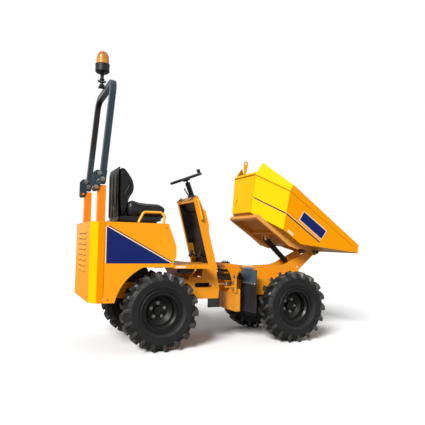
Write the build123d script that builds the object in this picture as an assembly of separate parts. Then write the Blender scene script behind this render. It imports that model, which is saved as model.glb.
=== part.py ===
"""An articulated site dumper with a front-tipping skip, for one operator.

Millimetres. +X is forward, +Y to the machine's left and +Z up. Every piece is
placed from the rear axle's centre line and the ground, and is shifted by
CENTRE_X on export, so that the origin is on the ground under the middle of the
machine. The skip's shape is given with the skip level, and then turned to the
angle at which it stands.
"""

from build123d import *
import os
from math import atan2, cos, degrees, hypot, radians, sin, sqrt, tan

# ---------------------------------------------------------------- wheels
TYRE_RADIUS = 338.0
TYRE_WIDTH = 180.0
LUG_COUNT = 18
LUG_HEIGHT = 24.0
LUG_THICKNESS = 34.0
LUG_ANGLE = 38.0
TRACK = 820.0
RIM_RADIUS = 152.0
RIM_FLANGE_RADIUS = 170.0
RIM_WIDTH = 140.0
RIM_WALL = 6.0
DISC_INSET = 129.0
DISC_THICKNESS = 8.0
HUB_RADIUS = 78.0
HUB_LENGTH = 34.0
HUB_CAP_RADIUS = 38.0
HUB_CAP_LENGTH = 30.0
SPINDLE_RADIUS = 25.0
SPINDLE_NOSE = 8.0
RUNNING_FIT = 0.05
SEAT_GAP = 0.3

# ------------------------------------------------------------------ axles
AXLE_RADIUS = 45.0
AXLE_HALF = 262.0
AXLE_HOUSING_RADIUS = 92.0
AXLE_HOUSING_HALF = 80.0
MOTOR_RADIUS = 62.0
MOTOR_LENGTH = 150.0
SADDLE_WIDTH = 46.0
SADDLE_LENGTH = 110.0

# ---------------------------------------------------------- articulation
PIVOT_X = 640.0
PIVOT_TO_FRONT = 700.0
FRONT_X = PIVOT_X + PIVOT_TO_FRONT
PIVOT_PIN_RADIUS = 22.0
PIVOT_LUG_RADIUS = 46.0
PIVOT_LUG_THICKNESS = 22.0
KNUCKLE_RADIUS = 42.0
KNUCKLE_Z = (456.0, 592.0)
LUG_CLEARANCE = 6.0

# ----------------------------------------------------------- rear chassis
PLATE = 12.0
REAR_FRAME_HALF = 256.0
REAR_FRAME_BACK = -500.0
REAR_FRAME_FRONT = PIVOT_X - 10
REAR_FRAME_BOTTOM = 414.0
REAR_FRAME_TOP = 632.0
ENGINE_FRAME_TOP = 560.0
SLOT_X = (380.0, 554.0)
SLOT_Z = 540.0
SLOT_HEIGHT = 44.0
WINDOW_Y = (98.0, 230.0)
WINDOW_Z = (486.0, 594.0)
BUFFER_X = (PIVOT_X - 120, PIVOT_X - 7)
BUFFER_WIDTH = 24.0
BUFFER_DEPTH = 82.0

# ------------------------------------------------------------ body panels
SHEET = 4.0
BODY_HALF = 464.0
COVER_REAR_X = -608.0
COVER_CORNER_X = -555.0
COVER_CORNER_HALF = 395.0
SEAM_X = -501.0
SEAM_GAP = 3.0
BODY_BOTTOM = 426.0
BODY_TOP = 1093.0
ARCH_RADIUS = 415.0
PANEL_FRONT = ((92.0, 755.0), (123.0, 804.0), (121.0, 896.0), (46.0, BODY_TOP))
PANEL_LIP = 24.0
LOUVRE_COLUMNS = (-112.0, 108.0)
LOUVRE_ROWS = 8
LOUVRE_LENGTH = 176.0
LOUVRE_SLOT = 14.0
LOUVRE_HOOD = 9.0
LOUVRE_WALL = 2.0
LOUVRE_PITCH = 47.0
LOUVRE_LOW_Z = 668.0
FLOOR_X = (98.0, 450.0)
FLOOR_TOP = 735.0
FLOOR_SHEET = 6.0
FLOOR_FOLD = 30.0
ENGINE = ((-430.0, -60.0), (-190.0, 190.0), (572.0, 930.0))

# ------------------------------------------------------------------- seat
SEAT_WIDTH = 420.0
SEAT_BASE_Z = 22.0
# In side view (x, height above the slide plate).
BACKREST = ((-300.0, 0.0), (-417.0, 0.0), (-432.0, 442.0), (-402.0, 481.0), (-356.0, 493.0),
            (-292.0, 457.0), (-236.0, 385.0), (-215.0, 323.0), (-226.0, 251.0), (-262.0, 193.0))
CUSHION_FRONT = ((-150.0, 167.0), (84.0, 154.0), (107.0, 120.0), (62.0, 15.0), (47.0, 0.0))
SEAT_EDGE = 14.0

# ----------------------------------------------------------- grab handles
GRAB_INSET = 74.0
GRAB_DIAMETER = 22.0
GRAB_ROUTE = ((-205.0, 0.0), (-161.0, 96.0), (-4.0, 98.0), (30.0, 66.0), (21.0, 0.0))
GRAB_BENDS = (34.0, 22.0, 22.0)

# ------------------------------------------------------- roll-over frame
POST_X = (-555.0, -490.0)
POST_Y = (330.0, 390.0)
POST_TOP = 1400.0
FOLD_X = -572.0
FOLD_Z = 1380.0
FOLD_PIN_RADIUS = 10.0
FOLD_LUG_RADIUS = 22.0
LEG_DEPTH = 50.0
LEG_START = 1412.0
LEG_LEAN = 66.0
LEG_LEAN_HEIGHT = 805.0
LEG_CORNER = 130.0
BRACKET_PLATE = 8.0
BRACKET = ((-492.0, 1470.0), (-484.0, 1523.0), (-578.0, 1523.0), (-598.0, 1500.0),
           (-598.0, 1362.0), (-584.0, 1348.0), (-560.0, 1350.0), (-536.0, 1412.0),
           (-496.0, 1424.0))

# ----------------------------------------------------------------- beacon
BEACON_TOP = 2687.0
BEACON_BEHIND_HOOP = 38.0
BEACON_BRACKET_RISE = 32.0
BEACON_STEM_LENGTH = 112.0
BEACON_STEM_RADIUS = 11.0
BEACON_BASE_RADIUS = 65.0
BEACON_BASE_HEIGHT = 76.0
BEACON_LENS_RADIUS = 61.0
BEACON_LENS_HEIGHT = 127.0

# ---------------------------------------------------------------- console
CONSOLE_HALF = 232.0
CONSOLE_SHEET = 5.0
CONSOLE_SHELF_Z = 1325.0
BULKHEAD_X = (452.0, PIVOT_X - 36)
CONSOLE_REAR = ((358.0, 1340.0), (522.0, FLOOR_TOP))
CONSOLE_FRONT = ((BULKHEAD_X[1], FLOOR_TOP), (523.0, 1031.0), (521.0, 1107.0), (484.0, 1233.0),
                 (456.0, 1257.0), (400.0, 1380.0))
STEERING_WHEEL = (363.0, 1560.0)
STEERING_WHEEL_RADIUS = 165.0
STEERING_RIM_RADIUS = 13.0
COLUMN_FOOT = (432.0, 1386.0)
COLUMN_RADIUS = 24.0
COLUMN_BASE_X = (406.0, 452.0)
COLUMN_BASE_HALF = 60.0
LEVER_DIAMETER = 12.0
LEVER_FOOT = (-44.0, 1378.0)
LEVER_BEND = (366.0, -60.0, 1396.0)
LEVER_TIP = (321.0, -70.0, 1453.0)
HANDLE_DIAMETER = 20.0
HANDLE_STAND_OFF = 36.0
HANDLE_TOP = (388.0, 1332.0)
HANDLE_FOOT = (440.0, 1152.0)

# ---------------------------------------------------------- front chassis
CROSS_BOX = ((PIVOT_X + 140, PIVOT_X + 190), (-300.0, 300.0), (290.0, 500.0))
BRIDGE_X = (CROSS_BOX[0][0] - PLATE, CROSS_BOX[0][0])
# In rear view (y, z), from the outer end down the leg and back over the opening.
BRIDGE_HALF = ((470.0, 735.0), (470.0, 712.0), (362.0, 655.0), (322.0, 605.0),
               (322.0, 470.0), (240.0, 470.0), (240.0, 575.0), (190.0, 650.0),
               (70.0, 708.0), (0.0, 708.0), (0.0, 735.0))
FLAP_X = (FRONT_X - 415, FRONT_X - 409)
SIDE_PLATE_Y = (288.0, 300.0)
SIDE_PLATE_X = (FLAP_X[1] + 9, FRONT_X + 160)
SIDE_PLATE_Z = (443.0, 593.0)
DECK_Z = (531.0, 543.0)
NOSE_X = FRONT_X + 360
TOP_PLATE_X = (CROSS_BOX[0][0], FRONT_X - 168)
TOP_PLATE_Z = (688.0, 700.0)
ARM_Y = (108.0, 123.0)
TIE_DOWN = (FRONT_X + 247, 700.0)
TIE_DOWN_RADIUS = 11.0
FLAP_Y = (128.0, 440.0)
FLAP_Z = (280.0, 686.0)

# --------------------------------------------------------- skip and pivot
SKIP_PIVOT = (FRONT_X + 435, 860.0)
ARM_KNEE = (SKIP_PIVOT[0] - 404, 713.0)
ARM_FOOT = (SKIP_PIVOT[0] - 173, 668.0)
SKIP_TILT = 33.0
SKIP_SHEET = 5.0
SKIP_HALF = 462.0
BACK_HALF = 232.0
PIVOT_TUBE_RADIUS = 22.0
PIVOT_TUBE_HALF = 205.0
ARM_EAR_RADIUS = 32.0
SKIP_EAR_RADIUS = 38.0
SKIP_EAR_Y = (140.0, 155.0)
SKIP_EAR_FOOT = (-215.0, 85.0)
RAIL_END = 175.0
# The skip level, in side view (x, z).
BACK_FOLD = (SKIP_PIVOT[0] - 1056, 1090.0)
BACK_FOOT = (SKIP_PIVOT[0] - 881, 749.0)
FLOOR_KNEE = (SKIP_PIVOT[0] - 334, 738.0)
LIP = (SKIP_PIVOT[0] + 271, 1037.0)
LIP_TOP = (SKIP_PIVOT[0] + 235, 1110.0)
CORNER_X = SKIP_PIVOT[0] - 746
SIDE_FOLD_Z = (1092.0, 1065.0)
CORNER_TOP = (SKIP_PIVOT[0] - 752, 1158.0)
GUARD_TOP = (SKIP_PIVOT[0] - 1062, 1235.0)
SIDE_LEAN = 7.0
CHAMFER_FOOT = (CORNER_X - 1, 298.0, 751.5)
RAIL_LINE = ((-815.0, 706.0), (-513.0, 699.0), (-370.0, 689.0), (-265.0, 718.0))
RIM_BAR = (22.0, 12.0)
LIP_BEAD_RADIUS = 9.0
EYE_PLATE = 12.0
EYE_WIDTH = 46.0
EYE_HOLE_RADIUS = 12.0
EYE_TOP = (SKIP_PIVOT[0] - 1121, 1206.0)

# -------------------------------------------------------------- cylinders
TIP_EYE_TILTED = (SKIP_PIVOT[0] - 511, 990.0)
TIP_FOOT = (SKIP_PIVOT[0] - 111, 620.0)
TIP_LUG_RADIUS = 20.0
TIP_BARREL_RADIUS = 28.0
TIP_BORE_RADIUS = 21.0
TIP_ROD_RADIUS = 16.0
TIP_BARREL_LENGTH = 345.0
TIP_CLOSED_LENGTH = 395.0
TIP_PISTON_CLOSED = 38.0
TIP_EYE_RADIUS = 25.0
STEER_FOOT = (220.0, -190.0)
STEER_EYE = (PIVOT_X + 112, -150.0)
STEER_Z = 540.0
STEER_BARREL_RADIUS = 24.0
STEER_BORE_RADIUS = 18.0
STEER_ROD_RADIUS = 12.0
STEER_BARREL_LENGTH = 330.0
STEER_TRAVEL = 90.0
STEER_EYE_RADIUS = 22.0
PISTON_LENGTH = 14.0
GLAND_LENGTH = 12.0
BARREL_END = 5.0
EYE_PLAY = 1.0
EYE_THICKNESS = 36.0
LUG_PLATE = 12.0
PIN_RADIUS = 12.0

# ------------------------------------------------------------ worked out
WHEEL_Y = TRACK / 2
GRAB_Y = BODY_HALF - GRAB_INSET
DISC_OUTER_Y = WHEEL_Y + RIM_WIDTH / 2 - DISC_INSET
REAR_FRAME_INNER = REAR_FRAME_HALF - PLATE
BEACON_LENS_Z = BEACON_TOP - BEACON_LENS_HEIGHT
BEACON_BASE_Z = BEACON_LENS_Z - BEACON_BASE_HEIGHT
BEACON_BRACKET_Z = BEACON_BASE_Z - BEACON_STEM_LENGTH
LEG_TOP = BEACON_BRACKET_Z - BEACON_BRACKET_RISE
POST_WIDTH = POST_Y[1] - POST_Y[0]
POST_MIDDLE_X = (POST_X[0] + POST_X[1]) / 2
HOOP_TOP_X = POST_MIDDLE_X + LEG_LEAN / LEG_LEAN_HEIGHT * (LEG_TOP - LEG_START - POST_WIDTH / 2)
BEACON_X = HOOP_TOP_X - BEACON_BEHIND_HOOP
SLOPE = atan2(LIP[1] - FLOOR_KNEE[1], LIP[0] - FLOOR_KNEE[0])


def tipped(point):
    """Where a point (x, z) of the level skip is once the skip is tipped."""
    turn = radians(SKIP_TILT)
    dx = point[0] - SKIP_PIVOT[0]
    dz = point[1] - SKIP_PIVOT[1]
    return (SKIP_PIVOT[0] + dx * cos(turn) + dz * sin(turn),
            SKIP_PIVOT[1] - dx * sin(turn) + dz * cos(turn))


def levelled(point):
    """Where a point (x, z) of the tipped skip is once the skip is level."""
    turn = radians(-SKIP_TILT)
    dx = point[0] - SKIP_PIVOT[0]
    dz = point[1] - SKIP_PIVOT[1]
    return (SKIP_PIVOT[0] + dx * cos(turn) + dz * sin(turn),
            SKIP_PIVOT[1] - dx * sin(turn) + dz * cos(turn))


FRONT_EXTENT = max(tipped(LIP)[0] + LIP_BEAD_RADIUS, tipped(LIP_TOP)[0])
CENTRE_X = (COVER_REAR_X - LOUVRE_HOOD + FRONT_EXTENT) / 2
TIP_EYE = levelled(TIP_EYE_TILTED)


# ------------------------------------------------------------ small tools
def block(x, y, z):
    """A box from the (low, high) pairs x, y and z."""
    size = (x[1] - x[0], y[1] - y[0], z[1] - z[0])
    return Pos((x[0] + x[1]) / 2, (y[0] + y[1]) / 2, (z[0] + z[1]) / 2) * Box(*size)


def side_plate(outline, y):
    """A plate with its outline in side view (x, z), between the two y values."""
    plane = Plane(origin=(0, y[1], 0), x_dir=(1, 0, 0), z_dir=(0, -1, 0))
    return extrude(plane * make_face(Polyline(*outline, close=True)), y[1] - y[0])


def cross_plate(outline, x):
    """A plate with its outline in rear view (y, z), between the two x values."""
    plane = Plane(origin=(x[0], 0, 0), x_dir=(0, 1, 0), z_dir=(1, 0, 0))
    return extrude(plane * make_face(Polyline(*outline, close=True)), x[1] - x[0])


def cylinder_y(centre, radius, y):
    """A cylinder along Y about (x, z), between the two y values."""
    return Pos(centre[0], (y[0] + y[1]) / 2, centre[1]) * Rot(X=90) * Cylinder(radius, y[1] - y[0])


def cylinder_z(centre, radius, z):
    """A cylinder along Z about (x, y), between the two z values."""
    return Pos(centre[0], centre[1], (z[0] + z[1]) / 2) * Cylinder(radius, z[1] - z[0])


def other_side(shape):
    """The same shape on the machine's other side."""
    return mirror(shape, about=Plane.XZ)


def both_sides(shape):
    """A shape and its mirror image."""
    return shape + other_side(shape)


def bent_tube(points, radii, diameter):
    """A round bar along straight runs joined by arcs."""
    path = FilletPolyline(*points, radius=radii)
    start = Plane(origin=points[0], z_dir=Vector(*points[1]) - Vector(*points[0]))
    return sweep(start * Circle(diameter / 2), path=path)


def thick_line(points, thickness):
    """The outline of a bent sheet whose outer face follows points, sheet to its right."""
    inner = []
    for index, point in enumerate(points):
        before = points[max(index - 1, 0)]
        after = points[min(index + 1, len(points) - 1)]
        first = atan2(point[1] - before[1], point[0] - before[0]) if index else None
        last = atan2(after[1] - point[1], after[0] - point[0]) if index < len(points) - 1 else None
        first = last if first is None else first
        last = first if last is None else last
        middle = (first + last) / 2
        reach = thickness / cos((last - first) / 2)
        inner.append((point[0] + reach * sin(middle), point[1] - reach * cos(middle)))
    return list(points) + inner[::-1]


# ----------------------------------------------------------------- wheels
def tyre():
    """A lugged tyre about the Y axis, at the origin."""
    half = TYRE_WIDTH / 2
    carcass = TYRE_RADIUS - LUG_HEIGHT
    bead = RIM_RADIUS + SEAT_GAP
    bead_half = RIM_WIDTH / 2 - RIM_WALL - SEAT_GAP
    profile = ((-bead_half, bead), (bead_half, bead), (bead_half, RIM_FLANGE_RADIUS + 4),
               (half - 4, 205), (half, 250), (half - 6, carcass - 34), (half - 26, carcass - 6),
               (0, carcass), (-half + 26, carcass - 6), (-half + 6, carcass - 34), (-half, 250),
               (-half + 4, 205), (-bead_half, RIM_FLANGE_RADIUS + 4))
    ring = revolve(Plane.YZ * make_face(Polyline(*profile, close=True)), axis=Axis.Y)
    lug_outline = ((4, carcass - 12), (4, TYRE_RADIUS), (half - 14, TYRE_RADIUS),
                   (half - 2, TYRE_RADIUS - 16), (half - 1, carcass - 34), (half - 20, carcass - 34),
                   (half - 34, carcass - 14))
    lug = cross_plate(lug_outline, (-LUG_THICKNESS / 2, LUG_THICKNESS / 2))
    lug = Pos(0, half / 2, 0) * Rot(Z=-LUG_ANGLE) * Pos(0, -half / 2, 0) * lug
    limit = Rot(X=90) * Cylinder(TYRE_RADIUS, TYRE_WIDTH - 2)
    lug = lug & limit
    step = 360 / LUG_COUNT
    lugs = []
    for index in range(LUG_COUNT):
        lugs.append(Rot(Y=index * step) * lug)
        lugs.append(Rot(Y=(index + 0.5) * step) * other_side(lug))
    return Part() + [ring] + lugs


def rim():
    """A wheel rim with its dished disc, hub and hub cap, about the Y axis, outer side to -Y."""
    half = RIM_WIDTH / 2
    inner = RIM_RADIUS - RIM_WALL
    disc = half - DISC_INSET
    disc_back = -disc + DISC_THICKNESS
    profile = ((-half, RIM_FLANGE_RADIUS), (-half, inner - 2), (-half + 30, inner - 2),
               (-half + 45, inner - 18), (half - 45, inner - 18), (half - 30, inner - 2),
               (half, inner - 2), (half, RIM_FLANGE_RADIUS), (half - RIM_WALL, RIM_FLANGE_RADIUS),
               (half - RIM_WALL, RIM_RADIUS), (half - 28, RIM_RADIUS), (half - 43, inner - 10),
               (-half + 43, inner - 10), (-half + 28, RIM_RADIUS), (-half + RIM_WALL, RIM_RADIUS),
               (-half + RIM_WALL, RIM_FLANGE_RADIUS))
    barrel = revolve(Plane.YZ * make_face(Polyline(*profile, close=True)), axis=Axis.Y)
    dish = ((-disc, SPINDLE_RADIUS), (-disc, HUB_RADIUS + 8), (-disc - 22, inner - 22),
            (-disc - 22, inner), (disc_back - 16, inner), (disc_back, HUB_RADIUS + 14),
            (disc_back, SPINDLE_RADIUS))
    plate = revolve(Plane.YZ * make_face(Polyline(*dish, close=True)), axis=Axis.Y)
    hub = cylinder_y((0, 0), HUB_RADIUS, (disc_back, disc_back + HUB_LENGTH))
    cap = Pos(0, -disc - HUB_CAP_LENGTH / 2, 0) * Rot(X=90) * Cylinder(HUB_CAP_RADIUS, HUB_CAP_LENGTH)
    wheel = barrel + plate + hub + cap
    bore_end = disc_back + HUB_LENGTH
    bore = cylinder_y((0, 0), SPINDLE_RADIUS + RUNNING_FIT, (-disc - SPINDLE_NOSE, bore_end + 5))
    return wheel - bore


def wheel_at(shape, x, side):
    """A wheel piece made with its outer side to -Y, put at an axle end."""
    turned = shape if side < 0 else Rot(Z=180) * shape
    return Pos(x, side * WHEEL_Y, TYRE_RADIUS) * turned


def axle(x, frame_bottom, saddle_y, motor_side):
    """An axle with its centre housing, drive motor, saddles and spindles."""
    centre = (x, TYRE_RADIUS)
    hub_back = DISC_OUTER_Y - DISC_THICKNESS - HUB_LENGTH
    spindle_end = DISC_OUTER_Y + SPINDLE_NOSE - SEAT_GAP
    body = cylinder_y(centre, AXLE_RADIUS, (-AXLE_HALF, AXLE_HALF))
    body += cylinder_y(centre, AXLE_HOUSING_RADIUS, (-AXLE_HOUSING_HALF, AXLE_HOUSING_HALF))
    body += cylinder_y(centre, HUB_RADIUS - 18, (-hub_back + SEAT_GAP, hub_back - SEAT_GAP))
    body += cylinder_y(centre, SPINDLE_RADIUS, (-spindle_end, spindle_end))
    motor = Pos(x + motor_side * (AXLE_HOUSING_RADIUS - 20 + MOTOR_LENGTH / 2), 0, TYRE_RADIUS)
    body += motor * Rot(Y=90) * Cylinder(MOTOR_RADIUS, MOTOR_LENGTH)
    saddle = block((x - SADDLE_LENGTH / 2, x + SADDLE_LENGTH / 2),
                   (saddle_y - SADDLE_WIDTH, saddle_y), (TYRE_RADIUS, frame_bottom))
    return body + both_sides(saddle)


# ----------------------------------------------------------- rear chassis
def rear_frame():
    """The rear chassis: two cut side plates, cross plates, pivot lugs and outriggers."""
    outline = ((REAR_FRAME_BACK, 440), (REAR_FRAME_BACK, ENGINE_FRAME_TOP), (200, ENGINE_FRAME_TOP),
               (284, 607), (600, REAR_FRAME_TOP), (REAR_FRAME_FRONT, 502),
               (REAR_FRAME_FRONT - 11, REAR_FRAME_BOTTOM), (60, REAR_FRAME_BOTTOM),
               (-60, REAR_FRAME_BOTTOM), (-140, 440))
    side = side_plate(outline, (REAR_FRAME_INNER, REAR_FRAME_HALF))
    slot = block(SLOT_X, (REAR_FRAME_INNER - 5, REAR_FRAME_HALF + 5),
                 (SLOT_Z - SLOT_HEIGHT / 2, SLOT_Z + SLOT_HEIGHT / 2))
    slot = fillet(slot.edges().filter_by(Axis.Y), SLOT_HEIGHT / 2 - 1)
    frame = both_sides(side - slot)
    wall = PIVOT_X - KNUCKLE_RADIUS - LUG_CLEARANCE - PLATE
    front = block((wall, wall + PLATE), (-REAR_FRAME_INNER, REAR_FRAME_INNER), (424, 618))
    for sign in (-1, 1):
        window = sorted(sign * y for y in WINDOW_Y)
        front -= block((wall - PLATE, wall + 2 * PLATE), window, WINDOW_Z)
    frame += front
    frame += block((REAR_FRAME_BACK, REAR_FRAME_BACK + PLATE),
                   (-REAR_FRAME_INNER, REAR_FRAME_INNER), (440, ENGINE_FRAME_TOP))
    for x in (-450, -40):
        frame += block((x - 30, x + 30), (-REAR_FRAME_INNER, REAR_FRAME_INNER), (548, 560))
    lug_low = KNUCKLE_Z[0] - LUG_CLEARANCE
    lug_high = KNUCKLE_Z[1] + LUG_CLEARANCE
    for z in ((lug_low - PIVOT_LUG_THICKNESS, lug_low), (lug_high, lug_high + PIVOT_LUG_THICKNESS)):
        lug = block((wall, PIVOT_X), (-PIVOT_LUG_RADIUS, PIVOT_LUG_RADIUS), z)
        lug += cylinder_z((PIVOT_X, 0), PIVOT_LUG_RADIUS, z)
        frame += lug
    frame -= cylinder_z((PIVOT_X, 0), PIVOT_PIN_RADIUS + RUNNING_FIT, (400, 650))
    gusset = cross_plate(((REAR_FRAME_INNER, 575), (BODY_HALF - SHEET, 690),
                          (BODY_HALF - SHEET, FLOOR_TOP - FLOOR_SHEET),
                          (REAR_FRAME_INNER, FLOOR_TOP - FLOOR_SHEET)), (300, 312))
    rear_arm = block((-490, -444), (REAR_FRAME_INNER, BODY_HALF - SHEET), (500, 560))
    frame += both_sides(gusset + rear_arm)
    frame += block((300, 312), (-REAR_FRAME_INNER, REAR_FRAME_INNER), (600, FLOOR_TOP - FLOOR_SHEET))
    frame += console_bulkhead()
    foot_low = STEER_Z - EYE_THICKNESS / 2 - 1
    foot_high = STEER_Z + EYE_THICKNESS / 2 + 1
    for z in ((foot_low - LUG_PLATE, foot_low), (foot_high, foot_high + LUG_PLATE)):
        lug = block((STEER_FOOT[0] - 18, STEER_FOOT[0] + 18), (-REAR_FRAME_INNER, STEER_FOOT[1]), z)
        frame += lug + cylinder_z(STEER_FOOT, 18, z)
    frame += cylinder_z(STEER_FOOT, PIN_RADIUS, (foot_low - LUG_PLATE, foot_high + LUG_PLATE))
    return frame


def console_bulkhead():
    """The upright box between the chassis and the console."""
    low = REAR_FRAME_TOP - 20
    half = REAR_FRAME_HALF - 4
    shell = block(BULKHEAD_X, (-half, half), (low, FLOOR_TOP))
    core = block((BULKHEAD_X[0] - 10, BULKHEAD_X[1] - PLATE), (-half + PLATE, half - PLATE),
                 (low - 5, FLOOR_TOP - PLATE))
    return shell - core


def pivot_pin():
    """The upright pin on which the machine bends, with its head."""
    low = KNUCKLE_Z[0] - LUG_CLEARANCE - PIVOT_LUG_THICKNESS
    high = KNUCKLE_Z[1] + LUG_CLEARANCE + PIVOT_LUG_THICKNESS
    pin = cylinder_z((PIVOT_X, 0), PIVOT_PIN_RADIUS, (low - 14, high))
    return pin + cylinder_z((PIVOT_X, 0), PIVOT_PIN_RADIUS + 12, (high, high + 12))


def step_block():
    """The small rubber buffer under the right chassis plate."""
    middle = -(REAR_FRAME_INNER + REAR_FRAME_HALF) / 2
    return block(BUFFER_X, (middle - BUFFER_WIDTH / 2, middle + BUFFER_WIDTH / 2),
                 (REAR_FRAME_BOTTOM - BUFFER_DEPTH, REAR_FRAME_BOTTOM))


# ------------------------------------------------------------ body panels
def rear_cover():
    """The louvred cover round the back of the engine bay."""
    outer = ((SEAM_X, -BODY_HALF), (COVER_CORNER_X, -BODY_HALF), (COVER_REAR_X, -COVER_CORNER_HALF),
             (COVER_REAR_X, COVER_CORNER_HALF), (COVER_CORNER_X, BODY_HALF), (SEAM_X, BODY_HALF))
    strip = thick_line(outer, SHEET)
    shell = extrude(Plane.XY.offset(BODY_BOTTOM) * make_face(Polyline(*strip, close=True)),
                    BODY_TOP - SHEET - BODY_BOTTOM)
    slots = []
    hoods = []
    for column in LOUVRE_COLUMNS:
        for row in range(LOUVRE_ROWS):
            z = LOUVRE_LOW_Z + row * LOUVRE_PITCH
            y = (column - LOUVRE_LENGTH / 2, column + LOUVRE_LENGTH / 2)
            slots.append(block((COVER_REAR_X - 5, COVER_REAR_X + SHEET + 5), y, (z, z + LOUVRE_SLOT)))
            hoods.append(louvre_hood(y, z))
    return Part() + [shell - slots] + hoods


def louvre_hood(y, z):
    """The pressed hood over one louvre slot, open along its lower edge at height z."""
    root = COVER_REAR_X + SHEET / 2
    lip = COVER_REAR_X - LOUVRE_HOOD
    top = z + LOUVRE_SLOT + LOUVRE_HOOD
    hood = side_plate(((root, top), (lip, z + LOUVRE_HOOD), (lip, z), (root, z)), y)
    inner_y = (y[0] + LOUVRE_WALL, y[1] - LOUVRE_WALL)
    inner = side_plate(((root + 1, top - 2 * LOUVRE_WALL), (lip + LOUVRE_WALL, z + LOUVRE_HOOD - LOUVRE_WALL),
                        (lip + LOUVRE_WALL, z - 5), (root + 1, z - 5)), inner_y)
    return hood - inner


def side_panel(side):
    """The engine bay's side panel with its wheel arch and folded lips."""
    low_front = sqrt(ARCH_RADIUS ** 2 - (BODY_BOTTOM - TYRE_RADIUS) ** 2)
    back = SEAM_X + SEAM_GAP
    outline = ((back, BODY_BOTTOM), (back, BODY_TOP - SHEET), PANEL_FRONT[3], PANEL_FRONT[2],
               PANEL_FRONT[1], PANEL_FRONT[0], (0, PANEL_FRONT[0][1]), (0, BODY_BOTTOM))
    outline = [(x, min(z, BODY_TOP - SHEET)) for x, z in outline]
    y = (BODY_HALF - SHEET, BODY_HALF)
    arch = (0, TYRE_RADIUS)
    panel = side_plate(outline, y) - cylinder_y(arch, ARCH_RADIUS, (y[0] - 5, y[1] + 5))
    lip_y = (BODY_HALF - PANEL_LIP, BODY_HALF)
    lip = cylinder_y(arch, ARCH_RADIUS + SHEET, lip_y) - cylinder_y(arch, ARCH_RADIUS, (lip_y[0] - 5, lip_y[1] + 5))
    lip &= block((-low_front - 20, 20), lip_y, (BODY_BOTTOM, 800))
    shape = panel + lip
    return shape if side > 0 else other_side(shape)


def seat_deck():
    """The folded sheet over the engine bay and down in front of it."""
    front = [PANEL_FRONT[3], PANEL_FRONT[2], PANEL_FRONT[1], PANEL_FRONT[0]]
    outer = [(COVER_REAR_X + 2, BODY_TOP)] + front
    strip = thick_line(outer, SHEET)
    top = side_plate(strip, (-BODY_HALF + SHEET + SEAT_GAP, BODY_HALF - SHEET - SEAT_GAP))
    cap = block((COVER_CORNER_X, PANEL_FRONT[3][0]), (-BODY_HALF, BODY_HALF), (BODY_TOP - SHEET, BODY_TOP))
    deck = top + cap
    corner = ((COVER_REAR_X + 2, COVER_CORNER_HALF), (COVER_CORNER_X, BODY_HALF),
              (COVER_CORNER_X - 60, BODY_HALF + 60))
    clip = extrude(Plane.XY.offset(BODY_TOP - 20) * make_face(Polyline(*corner, close=True)), 40)
    deck -= both_sides(clip)
    hole = block((POST_X[0] - 1, POST_X[1] + 1), (POST_Y[0] - 1, POST_Y[1] + 1), (BODY_TOP - 20, BODY_TOP + 20))
    return deck - both_sides(hole)


def floor_plate():
    """The operator's floor with its folded edges."""
    half = BODY_HALF - 4
    low = FLOOR_TOP - FLOOR_FOLD
    plate = block(FLOOR_X, (-half, half), (FLOOR_TOP - FLOOR_SHEET, FLOOR_TOP))
    edge = block(FLOOR_X, (half - FLOOR_SHEET, half), (low, FLOOR_TOP))
    edge -= block((295, 317), (half - 2 * FLOOR_SHEET, half + 5), (low - 5, FLOOR_TOP - FLOOR_SHEET))
    return plate + both_sides(edge)


def engine_block():
    """The engine, as one plain mass on its two bearers."""
    core = block(*ENGINE)
    for x in (-450, -40):
        core += block((x - 25, x + 25), (-150, 150), (560, ENGINE[2][0] + 20))
    return core


# ------------------------------------------------------------------- seat
def seat_base():
    """The slide plate on which the seat is bolted."""
    return block((-380, 30), (-160, 160), (BODY_TOP, BODY_TOP + SEAT_BASE_Z))


def padded_shape(outline):
    """A cushion on the slide plate, its outline in side view, with eased side edges."""
    low = BODY_TOP + SEAT_BASE_Z + SEAT_GAP
    placed = [(x, low + height) for x, height in outline]
    solid = side_plate(placed, (-SEAT_WIDTH / 2, SEAT_WIDTH / 2))
    ends = solid.faces().filter_by(Axis.Y).edges()
    return chamfer(ends, SEAT_EDGE)


def seat_backrest():
    """The backrest."""
    return padded_shape(BACKREST)


def seat_cushion():
    """The seat cushion, its back edge lying against the backrest."""
    back = [(x + SEAT_GAP, height) for x, height in (BACKREST[0], BACKREST[-1])]
    return padded_shape(back + list(CUSHION_FRONT))


def grab_handle(side):
    """The bent handrail at one side of the seat."""
    route = list(GRAB_ROUTE)
    for end, inner in ((0, 1), (-1, -2)):
        run = (route[end][0] - route[inner][0], route[end][1] - route[inner][1])
        rise = GRAB_DIAMETER / 2 * abs(run[0]) / hypot(*run) + SEAT_GAP
        route[end] = (route[end][0], rise)
    points = [(x, side * GRAB_Y, BODY_TOP + z) for x, z in route]
    return bent_tube(points, GRAB_BENDS, GRAB_DIAMETER)


# ------------------------------------------------------- roll-over frame
def rops_posts():
    """The two fixed posts with the lugs and pins of the fold."""
    post = block(POST_X, POST_Y, (ENGINE_FRAME_TOP, POST_TOP))
    lug = block((FOLD_X, POST_X[0] + 5), POST_Y, (FOLD_Z - FOLD_LUG_RADIUS, FOLD_Z + FOLD_LUG_RADIUS - 4))
    lug += cylinder_y((FOLD_X, FOLD_Z), FOLD_LUG_RADIUS, POST_Y)
    pin = cylinder_y((FOLD_X, FOLD_Z), FOLD_PIN_RADIUS, (POST_Y[0] - BRACKET_PLATE - 8, POST_Y[1] + BRACKET_PLATE + 8))
    return both_sides(post + lug + pin)


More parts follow.
